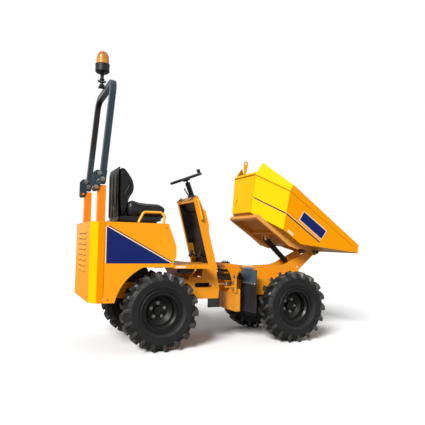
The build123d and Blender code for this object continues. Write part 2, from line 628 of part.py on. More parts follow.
def rops_frame():
    """The folding upper hoop with its bracket plates."""
    lean = degrees(atan2(LEG_LEAN, LEG_LEAN_HEIGHT))
    height = (LEG_TOP - LEG_START) / cos(radians(lean))
    outer = Rectangle(2 * POST_Y[1], height)
    outer = fillet(outer.vertices().group_by(Axis.Y)[-1], LEG_CORNER)
    inner = Pos(0, -POST_WIDTH / 2) * Rectangle(2 * POST_Y[0], height - POST_WIDTH)
    inner = fillet(inner.vertices().group_by(Axis.Y)[-1], LEG_CORNER - POST_WIDTH)
    hoop = extrude(outer - inner, LEG_DEPTH / 2, both=True)
    place = Pos(POST_MIDDLE_X, 0, LEG_START) * Rot(Y=lean) * Pos(0, 0, height / 2) * Rot(Z=90) * Rot(X=90)
    hoop = place * hoop - block((-700, -300), (-POST_Y[1], POST_Y[1]), (LEG_START - 100, LEG_START))
    plates = Part()
    for y in ((POST_Y[1] + 1, POST_Y[1] + 1 + BRACKET_PLATE), (POST_Y[0] - 1 - BRACKET_PLATE, POST_Y[0] - 1)):
        plate = side_plate(BRACKET, y)
        plate -= cylinder_y((FOLD_X, FOLD_Z), FOLD_PIN_RADIUS + RUNNING_FIT, (y[0] - 5, y[1] + 5))
        plates += plate
    web = block((POST_X[0] - 5, POST_X[1] - 10), (POST_Y[0] - 2, POST_Y[1] + 2), (LEG_START + 20, LEG_START + 98))
    return hoop + both_sides(plates + web)


def beacon_bracket():
    """The bent strap and stem that carry the beacon."""
    back = HOOP_TOP_X - LEG_DEPTH / 2
    low = LEG_TOP + LEG_DEPTH / 2 * LEG_LEAN / LEG_LEAN_HEIGHT + SEAT_GAP
    strap = block((BEACON_X - 30, back + 30), (-25, 25), (low, low + 8))
    lift = block((BEACON_X - 22, BEACON_X + 22), (-22, 22), (low, BEACON_BRACKET_Z))
    stem = cylinder_z((BEACON_X, 0), BEACON_STEM_RADIUS, (BEACON_BRACKET_Z - 5, BEACON_BASE_Z))
    return strap + lift + stem


def beacon_base():
    """The beacon's dark base."""
    base = cylinder_z((BEACON_X, 0), BEACON_BASE_RADIUS, (BEACON_BASE_Z, BEACON_LENS_Z))
    return chamfer(base.edges().group_by(Axis.Z)[0], 12)


def beacon_lens():
    """The beacon's domed lens."""
    low = BEACON_LENS_Z
    profile = Polyline((0, low), (BEACON_LENS_RADIUS, low),
                       (BEACON_LENS_RADIUS - 4, low + BEACON_LENS_HEIGHT * 0.55),
                       (BEACON_LENS_RADIUS - 18, low + BEACON_LENS_HEIGHT * 0.85),
                       (BEACON_LENS_RADIUS - 38, BEACON_TOP), (0, BEACON_TOP), close=True)
    return Pos(BEACON_X, 0, 0) * revolve(Plane.XZ * make_face(profile), axis=Axis.Z)


# ---------------------------------------------------------------- console
def console():
    """The folded console: two sides and the front, open to the operator."""
    outline = CONSOLE_REAR + CONSOLE_FRONT
    solid = side_plate(outline, (-CONSOLE_HALF, CONSOLE_HALF))
    front = CONSOLE_FRONT
    inner = thick_line(front[::-1], CONSOLE_SHEET)[len(front):]
    back, low, high = CONSOLE_REAR[0][0] - 58, FLOOR_TOP - 35, CONSOLE_FRONT[-1][1] + 120
    open_back = ((back, high), (back, low), (front[0][0] - CONSOLE_SHEET, low))
    half = CONSOLE_HALF - CONSOLE_SHEET
    core = side_plate(list(open_back) + inner[1:-1] + [(front[-1][0] - 6, high)], (-half, half))
    shelf = block((392, 440), (-half, half), (CONSOLE_SHELF_Z, CONSOLE_SHELF_Z + CONSOLE_SHEET))
    return solid - core + shelf


def console_handle(side):
    """The handrail along a console side's rear edge."""
    near = side * (CONSOLE_HALF + SEAT_GAP)
    out = side * (CONSOLE_HALF + HANDLE_STAND_OFF)
    points = [(HANDLE_TOP[0], near, HANDLE_TOP[1]), (HANDLE_TOP[0], out, HANDLE_TOP[1]),
              (HANDLE_FOOT[0], out, HANDLE_FOOT[1]), (HANDLE_FOOT[0], near, HANDLE_FOOT[1])]
    return bent_tube(points, (18, 18), HANDLE_DIAMETER)


def steering_column():
    """The steering column and its bracket, with the control lever's boss."""
    foot = Vector(COLUMN_FOOT[0], 0, COLUMN_FOOT[1])
    head = Vector(STEERING_WHEEL[0], 0, STEERING_WHEEL[1])
    along = (head - foot).normalized()
    end = head - along * 40
    column = Solid.make_cylinder(COLUMN_RADIUS, (end - foot).length, Plane(origin=foot, z_dir=along))
    shaft = Solid.make_cylinder(10, (head - end).length + 12, Plane(origin=end, z_dir=along))
    base = block(COLUMN_BASE_X, (-COLUMN_BASE_HALF, COLUMN_BASE_HALF),
                 (CONSOLE_SHELF_Z + CONSOLE_SHEET, COLUMN_FOOT[1] + 8))
    return Part() + column + shaft + base


def steering_wheel():
    """The steering wheel with three spokes and a spinner knob."""
    foot = Vector(COLUMN_FOOT[0], 0, COLUMN_FOOT[1])
    head = Vector(STEERING_WHEEL[0], 0, STEERING_WHEEL[1])
    along = (head - foot).normalized()
    wheel = Torus(STEERING_WHEEL_RADIUS - STEERING_RIM_RADIUS, STEERING_RIM_RADIUS)
    for index in range(3):
        spoke = Pos((STEERING_WHEEL_RADIUS - STEERING_RIM_RADIUS) / 2, 0, -8) * Box(
            STEERING_WHEEL_RADIUS - STEERING_RIM_RADIUS, 26, 10)
        wheel += Rot(Z=120 * index) * spoke
    wheel += Pos(0, 0, -8) * Cylinder(34, 34)
    knob = Pos(STEERING_WHEEL_RADIUS - STEERING_RIM_RADIUS, 0, 30) * Cylinder(17, 40)
    wheel += knob
    wheel -= Pos(0, 0, -8) * Cylinder(10 + RUNNING_FIT, 60)
    place = Plane(origin=head, x_dir=(along.Z, 0, -along.X), z_dir=along)
    return place * wheel


def control_lever():
    """The lever under the steering wheel."""
    across = hypot(LEVER_BEND[1] - LEVER_FOOT[0], LEVER_BEND[2] - LEVER_FOOT[1])
    run = hypot(COLUMN_BASE_X[0] - LEVER_BEND[0], across)
    start_x = COLUMN_BASE_X[0] - LEVER_DIAMETER / 2 * across / run - SEAT_GAP
    points = [(start_x, *LEVER_FOOT), LEVER_BEND, LEVER_TIP]
    return bent_tube(points, (LEVER_DIAMETER,), LEVER_DIAMETER)


# ---------------------------------------------------------- front chassis
def arm_outline():
    """The side outline of a tip arm, without its ear."""
    normal = (-sin(SLOPE), cos(SLOPE))
    top = (SKIP_PIVOT[0] + ARM_EAR_RADIUS * normal[0], SKIP_PIVOT[1] + ARM_EAR_RADIUS * normal[1])
    back = (top[0] - 350 * cos(SLOPE), top[1] - 350 * sin(SLOPE))
    low = (SKIP_PIVOT[0] + ARM_EAR_RADIUS * 0.72, SKIP_PIVOT[1] - ARM_EAR_RADIUS * 0.69)
    return [(CROSS_BOX[0][1], CROSS_BOX[2][1] - 60), (CROSS_BOX[0][1], TOP_PLATE_Z[0]),
            (TOP_PLATE_X[1], TOP_PLATE_Z[0]), (TOP_PLATE_X[1], TOP_PLATE_Z[1] + 5), ARM_KNEE,
            back, top, low, ARM_FOOT, (ARM_FOOT[0], DECK_Z[0]), (SIDE_PLATE_X[0], DECK_Z[0]),
            (SIDE_PLATE_X[0] - 40, 440)]


def front_frame():
    """The front chassis: cross box, bridge, spine plates with the tip arms, deck and nose."""
    frame = block(*CROSS_BOX)
    bridge = cross_plate(BRIDGE_HALF, BRIDGE_X)
    frame += both_sides(bridge)
    knuckle = cylinder_z((PIVOT_X, 0), KNUCKLE_RADIUS, KNUCKLE_Z)
    neck = block((PIVOT_X, CROSS_BOX[0][0]), (-30, 30), (KNUCKLE_Z[0] + 8, KNUCKLE_Z[1] - 8))
    frame += knuckle + neck
    frame += block((BRIDGE_X[0], CROSS_BOX[0][1]), (-60, 60), (500, TOP_PLATE_Z[0]))
    frame -= cylinder_z((PIVOT_X, 0), PIVOT_PIN_RADIUS + RUNNING_FIT, (400, 650))
    frame += block(TOP_PLATE_X, (-ARM_Y[1], ARM_Y[1]), TOP_PLATE_Z)
    frame += block((SIDE_PLATE_X[0], SIDE_PLATE_X[1]), (-SIDE_PLATE_Y[0], SIDE_PLATE_Y[0]), DECK_Z)
    frame += block((SIDE_PLATE_X[1], NOSE_X), (-ARM_Y[1], ARM_Y[1]), DECK_Z)
    side = block(SIDE_PLATE_X, SIDE_PLATE_Y, SIDE_PLATE_Z)
    web = block((FLAP_X[1], FLAP_X[1] + PLATE), (ARM_Y[1] - 2, SIDE_PLATE_Y[1]), (SIDE_PLATE_Z[0], FLAP_Z[1]))
    arm = side_plate(arm_outline(), ARM_Y)
    arm += cylinder_y(SKIP_PIVOT, ARM_EAR_RADIUS, ARM_Y)
    arm -= cylinder_y(SKIP_PIVOT, PIVOT_TUBE_RADIUS, (ARM_Y[0] - 5, ARM_Y[1] + 5))
    arm -= cylinder_y(TIE_DOWN, TIE_DOWN_RADIUS, (ARM_Y[0] - 5, ARM_Y[1] + 5))
    frame += both_sides(side + web + arm)
    lug_y = (EYE_THICKNESS / 2 + 6, EYE_THICKNESS / 2 + 6 + LUG_PLATE)
    lug = side_plate(((TIP_FOOT[0] - 32, DECK_Z[1]), (TIP_FOOT[0] - 26, TIP_FOOT[1]),
                      (TIP_FOOT[0], TIP_FOOT[1] + 28), (TIP_FOOT[0] + 26, TIP_FOOT[1]),
                      (TIP_FOOT[0] + 32, DECK_Z[1])), lug_y)
    lug += cylinder_y(TIP_FOOT, PIN_RADIUS, (lug_y[0], lug_y[1] + 10))
    frame += both_sides(lug)
    return frame + steering_lugs()


def steering_lugs():
    """The two lugs that take the steering cylinder's rod eye."""
    low = STEER_Z - EYE_THICKNESS / 2 - 6
    high = STEER_Z + EYE_THICKNESS / 2 + 6
    shape = Part()
    for z, outwards in (((low - LUG_PLATE, low), -8), ((high, high + LUG_PLATE), 8)):
        plate = block((STEER_EYE[0] - 20, CROSS_BOX[0][1]), (STEER_EYE[1] - 24, STEER_EYE[1] + 24), z)
        pin_z = (z[0] + min(outwards, 0), z[1] + max(outwards, 0))
        shape += plate + cylinder_z(STEER_EYE, PIN_RADIUS, pin_z)
    post = block((CROSS_BOX[0][1] - PLATE, CROSS_BOX[0][1]), (STEER_EYE[1] - 24, STEER_EYE[1] + 24),
                 (CROSS_BOX[2][1] - 5, high + LUG_PLATE))
    return shape + post


def pivot_tube():
    """The cross tube in the tip arms on which the skip turns."""
    tube = cylinder_y(SKIP_PIVOT, PIVOT_TUBE_RADIUS, (-PIVOT_TUBE_HALF, PIVOT_TUBE_HALF))
    return tube - cylinder_y(SKIP_PIVOT, PIVOT_TUBE_RADIUS - 6, (-PIVOT_TUBE_HALF - 1, PIVOT_TUBE_HALF + 1))


def mud_flap(side):
    """A rubber flap behind a front tyre."""
    shape = block(FLAP_X, FLAP_Y, FLAP_Z)
    return shape if side > 0 else other_side(shape)


# ------------------------------------------------------------------- skip
def half_space(solid, a, b, c, inset, inside):
    """Cut solid by the plane through a, b and c, moved inset towards the point inside."""
    normal = (Vector(*b) - Vector(*a)).cross(Vector(*c) - Vector(*a)).normalized()
    if normal.dot(Vector(*inside) - Vector(*a)) < 0:
        normal = normal * -1
    origin = Vector(*a) + normal * inset
    return split(solid, bisect_by=Plane(origin=origin, z_dir=normal), keep=Keep.TOP)


def skip_hull(inset):
    """The skip below its fold line, as a convex solid, each wall moved in by inset."""
    inside = (SKIP_PIVOT[0] - 475, 0.0, 950.0)
    lean = tan(radians(SIDE_LEAN))
    low_y = SKIP_HALF - 340 * lean
    top = SIDE_FOLD_Z[0] + (0 if inset == 0 else 400)
    front = LIP[0] + (0 if inset == 0 else 200)
    solid = block((BACK_FOLD[0] - 119, front), (-SKIP_HALF - 138, SKIP_HALF + 138), (600, top))
    solid = half_space(solid, (BACK_FOOT[0], 0, BACK_FOOT[1]), (BACK_FOOT[0], 50, BACK_FOOT[1]),
                       (FLOOR_KNEE[0], 0, FLOOR_KNEE[1]), inset, inside)
    solid = half_space(solid, (FLOOR_KNEE[0], 0, FLOOR_KNEE[1]), (FLOOR_KNEE[0], 50, FLOOR_KNEE[1]),
                       (LIP[0], 0, LIP[1]), inset, inside)
    solid = half_space(solid, (BACK_FOLD[0], 0, BACK_FOLD[1]), (BACK_FOLD[0], 50, BACK_FOLD[1]),
                       (BACK_FOOT[0], 0, BACK_FOOT[1]), inset, inside)
    for sign in (-1, 1):
        solid = half_space(solid, (BACK_FOLD[0], sign * BACK_HALF, BACK_FOLD[1]),
                           (CORNER_X, sign * SKIP_HALF, SIDE_FOLD_Z[0]),
                           (CHAMFER_FOOT[0], sign * CHAMFER_FOOT[1], CHAMFER_FOOT[2]), inset, inside)
        solid = half_space(solid, (CORNER_X, sign * SKIP_HALF, SIDE_FOLD_Z[0]),
                           (LIP_TOP[0], sign * SKIP_HALF, SIDE_FOLD_Z[1]),
                           (CORNER_X, sign * low_y, SIDE_FOLD_Z[0] - 340), inset, inside)
    if inset == 0:
        solid = half_space(solid, (BACK_FOLD[0], 0, SIDE_FOLD_Z[0]), (BACK_FOLD[0], 50, SIDE_FOLD_Z[0]),
                           (LIP_TOP[0], 0, SIDE_FOLD_Z[1]), 0, inside)
        solid = half_space(solid, (LIP[0], 0, LIP[1]), (LIP[0], 50, LIP[1]),
                           (LIP_TOP[0], 0, LIP_TOP[1]), 0, inside)
    return solid


def skip_body():
    """The skip: folded sheet walls with guards at the back corners, rim bar and lip bead."""
    body = skip_hull(0) - skip_hull(SKIP_SHEET)
    plan = [(BACK_FOLD[0], BACK_HALF), (CORNER_X, SKIP_HALF), (LIP_TOP[0] + 30, SKIP_HALF)]
    strip = thick_line(plan, SKIP_SHEET)
    band = extrude(Plane.XY.offset(900) * make_face(Polyline(*strip, close=True)), 400)
    side = ((BACK_FOLD[0] - 20, BACK_FOLD[1] - 3), (BACK_FOLD[0] - 20, GUARD_TOP[1]),
            GUARD_TOP, CORNER_TOP, LIP_TOP, (LIP_TOP[0] + 22, SIDE_FOLD_Z[1] - 4),
            (CORNER_X, SIDE_FOLD_Z[0] - 4))
    band &= side_plate(side, (0, 600))
    body += both_sides(band)
    bar = block((BACK_FOLD[0] - RIM_BAR[1] + SKIP_SHEET, BACK_FOLD[0] + SKIP_SHEET), (-BACK_HALF, BACK_HALF),
                (BACK_FOLD[1] - 4, BACK_FOLD[1] + RIM_BAR[0]))
    body += bar
    bead_half = SKIP_HALF - 4
    body += cylinder_y((LIP[0] - 2, LIP[1] + 3), LIP_BEAD_RADIUS, (-bead_half, bead_half))
    return body


def skip():
    """The skip body, tipped."""
    return tip(skip_body())


def tip(shape):
    """A level piece of the skip, turned forward about the skip pivot."""
    pivot = (SKIP_PIVOT[0], 0, SKIP_PIVOT[1])
    return Pos(*pivot) * Rot(Y=SKIP_TILT) * Pos(-pivot[0], -pivot[1], -pivot[2]) * shape


def slope_z(x):
    """The height of the front slope's underside at x, skip level."""
    return FLOOR_KNEE[1] + (x - FLOOR_KNEE[0]) * tan(SLOPE)


def floor_z(x):
    """The height of the skip floor's underside at x, skip level."""
    return BACK_FOOT[1] + (x - BACK_FOOT[0]) * (FLOOR_KNEE[1] - BACK_FOOT[1]) / (FLOOR_KNEE[0] - BACK_FOOT[0])


def skip_cradle():
    """The members under the skip: rear cross member, longerons, cylinder lugs and pivot ears."""
    start = BACK_FOOT[0] + 41
    cross = side_plate(((start, floor_z(start)), (start, 712), (start + 15, 706), (start + 40, 706),
                        (start + 50, floor_z(start + 50))), (-290, 290))
    rail_y = (270, 300)
    rail_end = SKIP_PIVOT[0] - RAIL_END
    rail_low = [(SKIP_PIVOT[0] + reach, z) for reach, z in RAIL_LINE]
    rail = side_plate([(start, floor_z(start)), (start, 712)] + rail_low
                      + [(rail_end, slope_z(rail_end)), FLOOR_KNEE], rail_y)
    back, front = (SKIP_PIVOT[0] + reach for reach in SKIP_EAR_FOOT)
    ear_line = side_plate(((back, slope_z(back)), (back + 30, slope_z(back + 30) - 26),
                           (SKIP_PIVOT[0] - 30, SKIP_PIVOT[1] - 24),
                           (SKIP_PIVOT[0] + SKIP_EAR_RADIUS, SKIP_PIVOT[1]), (front, slope_z(front))), SKIP_EAR_Y)
    ear = ear_line + cylinder_y(SKIP_PIVOT, SKIP_EAR_RADIUS, SKIP_EAR_Y)
    ear -= cylinder_y(SKIP_PIVOT, PIVOT_TUBE_RADIUS + RUNNING_FIT, (SKIP_EAR_Y[0] - 5, SKIP_EAR_Y[1] + 5))
    lug_y = (EYE_THICKNESS / 2 + 1, EYE_THICKNESS / 2 + 1 + LUG_PLATE)
    ear_back = TIP_EYE[0] - TIP_LUG_RADIUS
    ear_front = TIP_EYE[0] + TIP_LUG_RADIUS
    lug_back = ear_back - 41
    lug = side_plate(((lug_back, floor_z(lug_back)), (ear_back, TIP_EYE[1]), (ear_front, TIP_EYE[1]),
                      (ear_front, floor_z(ear_front))), lug_y)
    lug += cylinder_y(TIP_EYE, TIP_LUG_RADIUS, lug_y)
    lug += cylinder_y(TIP_EYE, PIN_RADIUS, (0, lug_y[1] + 10))
    mid_x = (lug_back + 1, lug_back + 21)
    mid = side_plate(((mid_x[0], floor_z(mid_x[0])), (mid_x[0], 714), (mid_x[1], 714),
                      (mid_x[1], floor_z(mid_x[1]))), (-270, 270))
    under = skip_hull(0)
    return tip(both_sides(rail + ear + lug) + cross + mid - under)


def lifting_eye():
    """The upright eye on the skip's back rim."""
    foot = (BACK_FOLD[0] - RIM_BAR[1] + SKIP_SHEET, BACK_FOLD[1] + RIM_BAR[0] - 4)
    half = EYE_WIDTH / 2
    lean = atan2(EYE_TOP[0] - foot[0], EYE_TOP[1] - foot[1])
    left = (EYE_TOP[0] - half * cos(lean), EYE_TOP[1] + half * sin(lean))
    right = (EYE_TOP[0] + half * cos(lean), EYE_TOP[1] - half * sin(lean))
    outline = (left, right, (foot[0], foot[1] + 12), (foot[0], BACK_FOLD[1] - 4), (foot[0] - 14, BACK_FOLD[1] + 12))
    y = (-EYE_PLATE / 2, EYE_PLATE / 2)
    eye = side_plate(outline, y) + cylinder_y(EYE_TOP, half, y)
    return tip(eye - cylinder_y(EYE_TOP, EYE_HOLE_RADIUS, (y[0] - 5, y[1] + 5)))


# -------------------------------------------------------------- cylinders
def ram_barrel(length, radius, bore, rod, eye_radius):
    """A cylinder barrel along +X from its eye at the origin, the eye's hole along Z."""
    back = eye_radius + BARREL_END
    front = length - GLAND_LENGTH
    along = Rot(Y=90)
    barrel = Pos((length + eye_radius) / 2, 0, 0) * along * Cylinder(radius, length - eye_radius)
    barrel += Pos(back / 2, 0, 0) * Box(back, eye_radius, EYE_THICKNESS)
    barrel += Cylinder(eye_radius, EYE_THICKNESS)
    barrel -= Pos((back + front) / 2, 0, 0) * along * Cylinder(bore, front - back)
    barrel -= Pos(length, 0, 0) * along * Cylinder(rod + RUNNING_FIT, 3 * GLAND_LENGTH)
    return barrel - Cylinder(PIN_RADIUS + RUNNING_FIT, 2 * EYE_THICKNESS)


def ram_rod(start, length, radius, bore, eye_radius):
    """A rod along +X from its piston at start to its eye at length, the eye's hole along Z."""
    along = Rot(Y=90)
    rod = Pos((start + length) / 2, 0, 0) * along * Cylinder(radius, length - start)
    rod += Pos(start + PISTON_LENGTH / 2, 0, 0) * along * Cylinder(bore - RUNNING_FIT, PISTON_LENGTH)
    rod += Pos(length, 0, 0) * Cylinder(eye_radius, EYE_THICKNESS)
    return rod - Pos(length, 0, 0) * Cylinder(PIN_RADIUS + EYE_PLAY, 2 * EYE_THICKNESS)


def tip_ram_place():
    """The plane of the tip cylinder: X along it, Z across the machine."""
    direction = Vector(TIP_FOOT[0] - TIP_EYE_TILTED[0], 0, TIP_FOOT[1] - TIP_EYE_TILTED[1])
    return Plane(origin=(TIP_EYE_TILTED[0], 0, TIP_EYE_TILTED[1]), x_dir=direction, z_dir=(0, 1, 0))


def tip_ram_barrel():
    """The tip cylinder's barrel, pinned under the skip."""
    barrel = ram_barrel(TIP_BARREL_LENGTH, TIP_BARREL_RADIUS, TIP_BORE_RADIUS, TIP_ROD_RADIUS,
                        TIP_EYE_RADIUS)
    return tip_ram_place() * barrel


def tip_ram_rod():
    """The tip cylinder's rod, down to the nose lugs."""
    length = hypot(TIP_FOOT[0] - TIP_EYE_TILTED[0], TIP_FOOT[1] - TIP_EYE_TILTED[1])
    start = length - TIP_CLOSED_LENGTH + TIP_PISTON_CLOSED
    return tip_ram_place() * ram_rod(start, length, TIP_ROD_RADIUS, TIP_BORE_RADIUS, TIP_EYE_RADIUS)


def steer_ram_place():
    """The plane of the steering cylinder: X along it, Z up."""
    direction = (STEER_EYE[0] - STEER_FOOT[0], STEER_EYE[1] - STEER_FOOT[1], 0)
    return Plane(origin=(STEER_FOOT[0], STEER_FOOT[1], STEER_Z), x_dir=direction, z_dir=(0, 0, 1))


def steer_ram_barrel():
    """The steering cylinder's barrel, pinned in the rear chassis."""
    barrel = ram_barrel(STEER_BARREL_LENGTH, STEER_BARREL_RADIUS, STEER_BORE_RADIUS, STEER_ROD_RADIUS,
                        STEER_EYE_RADIUS)
    return steer_ram_place() * barrel


def steer_ram_rod():
    """The steering cylinder's rod, forward to the front chassis."""
    length = hypot(STEER_EYE[0] - STEER_FOOT[0], STEER_EYE[1] - STEER_FOOT[1])
    start = STEER_BARREL_LENGTH - GLAND_LENGTH - 2 * PISTON_LENGTH - STEER_TRAVEL
    return steer_ram_place() * ram_rod(start, length, STEER_ROD_RADIUS, STEER_BORE_RADIUS,
                                       STEER_EYE_RADIUS)


def wheels():
    """Every tyre and rim, by name."""
    pieces = {}
    plain_tyre = tyre()
    plain_rim = rim()
    for end, x in (("rear", 0.0), ("front", FRONT_X)):
        for name, side in (("right", -1), ("left", 1)):
            pieces[f"tyre_{end}_{name}"] = wheel_at(plain_tyre, x, side)
            pieces[f"rim_{end}_{name}"] = wheel_at(plain_rim, x, side)
    return pieces


def pieces():
    """Every piece of the machine, by node name."""
    table = {
        "rear_frame": rear_frame(),
        "pivot_pin": pivot_pin(),
        "step_block": step_block(),
        "rear_axle": axle(0.0, REAR_FRAME_BOTTOM, REAR_FRAME_HALF, 1),
        "rear_cover": rear_cover(),
        "seat_deck": seat_deck(),
        "floor_plate": floor_plate(),
        "engine_block": engine_block(),
        "seat_base": seat_base(),
        "seat_cushion": seat_cushion(),
        "seat_backrest": seat_backrest(),
        "rops_posts": rops_posts(),
        "rops_frame": rops_frame(),
        "beacon_bracket": beacon_bracket(),
        "beacon_base": beacon_base(),
        "beacon_lens": beacon_lens(),
        "console": console(),
        "steering_column": steering_column(),
        "steering_wheel": steering_wheel(),
        "control_lever": control_lever(),
        "front_frame": front_frame(),
        "front_axle": axle(FRONT_X, SIDE_PLATE_Z[0], SIDE_PLATE_Y[1], -1),
        "pivot_tube": pivot_tube(),
        "skip": skip(),
        "skip_cradle": skip_cradle(),
        "lifting_eye": lifting_eye(),
        "tip_ram_barrel": tip_ram_barrel(),
        "tip_ram_rod": tip_ram_rod(),
        "steer_ram_barrel": steer_ram_barrel(),
        "steer_ram_rod": steer_ram_rod(),
    }
    for name, side in (("right", -1), ("left", 1)):
        table[f"side_panel_{name}"] = side_panel(side)
        table[f"grab_handle_{name}"] = grab_handle(side)
        table[f"console_handle_{name}"] = console_handle(side)
        table[f"mud_flap_{name}"] = mud_flap(side)
    table.update(wheels())
    return table


os.makedirs("parts", exist_ok=True)
for node, shape in pieces().items():
    export_step(Pos(-CENTRE_X, 0, 0) * shape, f"parts/{node}.step")
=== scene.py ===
"""The looks of an articulated site dumper with a front-tipping skip.

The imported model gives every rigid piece. This script gives each surface its finish and adds what
is worn, soft, printed or bolted on. Sizes are in millimetres from the rear axle's centre line and
the ground, with +X forward, +Y to the machine's left and +Z up, as in the model.
"""

from __future__ import annotations

import logging
import math
from dataclasses import dataclass
from enum import Enum, IntEnum
from functools import cache
from typing import Sequence

import bmesh
import bpy
from bpy.types import Material, Mesh, Node, NodeSocket, NodeTree, Object, World
from mathutils import Matrix, Vector


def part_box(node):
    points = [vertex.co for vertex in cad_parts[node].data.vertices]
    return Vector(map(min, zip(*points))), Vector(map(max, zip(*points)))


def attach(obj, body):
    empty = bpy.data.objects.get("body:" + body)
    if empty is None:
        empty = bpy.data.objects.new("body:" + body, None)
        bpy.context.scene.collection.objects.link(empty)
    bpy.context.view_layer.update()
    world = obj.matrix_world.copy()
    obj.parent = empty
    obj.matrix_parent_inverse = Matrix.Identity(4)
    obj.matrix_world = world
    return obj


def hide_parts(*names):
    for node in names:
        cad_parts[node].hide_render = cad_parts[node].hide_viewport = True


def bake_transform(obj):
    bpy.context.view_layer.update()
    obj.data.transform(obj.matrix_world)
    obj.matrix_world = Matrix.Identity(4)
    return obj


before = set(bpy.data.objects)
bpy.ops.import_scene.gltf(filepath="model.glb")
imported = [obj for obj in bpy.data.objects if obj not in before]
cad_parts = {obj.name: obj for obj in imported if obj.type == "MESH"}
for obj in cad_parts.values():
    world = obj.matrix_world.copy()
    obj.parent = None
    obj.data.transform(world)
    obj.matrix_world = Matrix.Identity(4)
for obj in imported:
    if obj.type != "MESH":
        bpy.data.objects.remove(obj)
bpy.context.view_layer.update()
LOG = logging.getLogger("dumper")
MM = 0.001

Point = Sequence[float]


@dataclass(frozen=True)
class Datum:
    """The rear axle's centre line on the ground, from which sizes are measured."""

    x: float

    def at(self, x: float, y: float, z: float) -> Vector:
        """The place in the frame, in metres, of a point in millimetres."""
        return Vector((self.x + x * MM, y * MM, z * MM))

    def back(self, place: Vector) -> Vector:
        """The point in millimetres at a place in the frame."""
        return Vector(((place.x - self.x) / MM, place.y / MM, place.z / MM))


def rear_axle_x() -> float:
    """The rear axle's place along the frame, from the rear rim's box."""
    low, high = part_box("rim_rear_right")
    return (low[0] + high[0]) / 2


DATUM = Datum(rear_axle_x())
# The height of the floor plate's top face.
FLOOR_TOP = 735.0


# ---- nodes
def linear(code: str) -> tuple[float, float, float, float]:
    """Turns an sRGB hex value to the linear colour that shaders take.

    Args:
        code: Six hex digits after a hash.

    Returns:
        Red, green, blue and an alpha of 1.
    """
    parts = [int(code[i:i + 2], 16) / 255 for i in (1, 3, 5)]
    red, green, blue = (p / 12.92 if p <= 0.04045 else ((p + 0.055) / 1.055) ** 2.4 for p in parts)
    return red, green, blue, 1.0


def clean_tree(owner: Material | World) -> NodeTree:
    """Gives a material or a world an empty node tree.

    Args:
        owner: The material or the world.

    Returns:
        The tree.
    """
    owner.use_nodes = True
    owner.node_tree.nodes.clear()
    return owner.node_tree


def feed(tree: NodeTree, node: Node, inputs: dict) -> None:
    """Sets or links a node's inputs.

    Args:
        tree: The node's tree.
        node: The node.
        inputs: By name or number, a value, a socket, or a node that stands for its first output.
    """
    for key, value in inputs.items():
        source = value.outputs[0] if isinstance(value, Node) else value
        if isinstance(source, NodeSocket):
            tree.links.new(source, node.inputs[key])
        else:
            node.inputs[key].default_value = source


def add_node(tree: NodeTree, kind: str, inputs: dict | None = None, **settings: object) -> Node:
    """Adds a node with its settings, its input values and its links.

    Args:
        tree: The tree that the node goes into.
        kind: Blender's name of the node type.
        inputs: What feed takes.
        settings: The node's own properties.

    Returns:
        The new node.
    """
    node = tree.nodes.new(kind)
    for name, value in settings.items():
        setattr(node, name, value)
    feed(tree, node, inputs or {})
    return node


# ---- finishes
@dataclass(frozen=True)
class Canvas:
    """What a finish is drawn on: its material's tree and shader, and the place on the piece."""

    tree: NodeTree
    shader: Node
    place: NodeSocket


@dataclass(frozen=True)
class Finish:
    """A surface finish: what it is made of, its colour and its gloss."""

    name: str
    colour: str
    roughness: float

    def build(self) -> Material:
        """Makes the material once, and gives it back each later time.

        Returns:
            The material.
        """
        found = bpy.data.materials.get(self.name)
        if found:
            return found
        material = bpy.data.materials.new(self.name)
        tree = clean_tree(material)
        shader = add_node(tree, "ShaderNodeBsdfPrincipled",
                          {"Base Color": linear(self.colour), "Roughness": self.roughness})
        add_node(tree, "ShaderNodeOutputMaterial", {"Surface": shader})
        place = add_node(tree, "ShaderNodeTexCoord").outputs["Object"]
        self.dress(Canvas(tree, shader, place))
        return material

    def dress(self, canvas: Canvas) -> None:
        """Adds the finish's own pattern. The plain finish has none."""


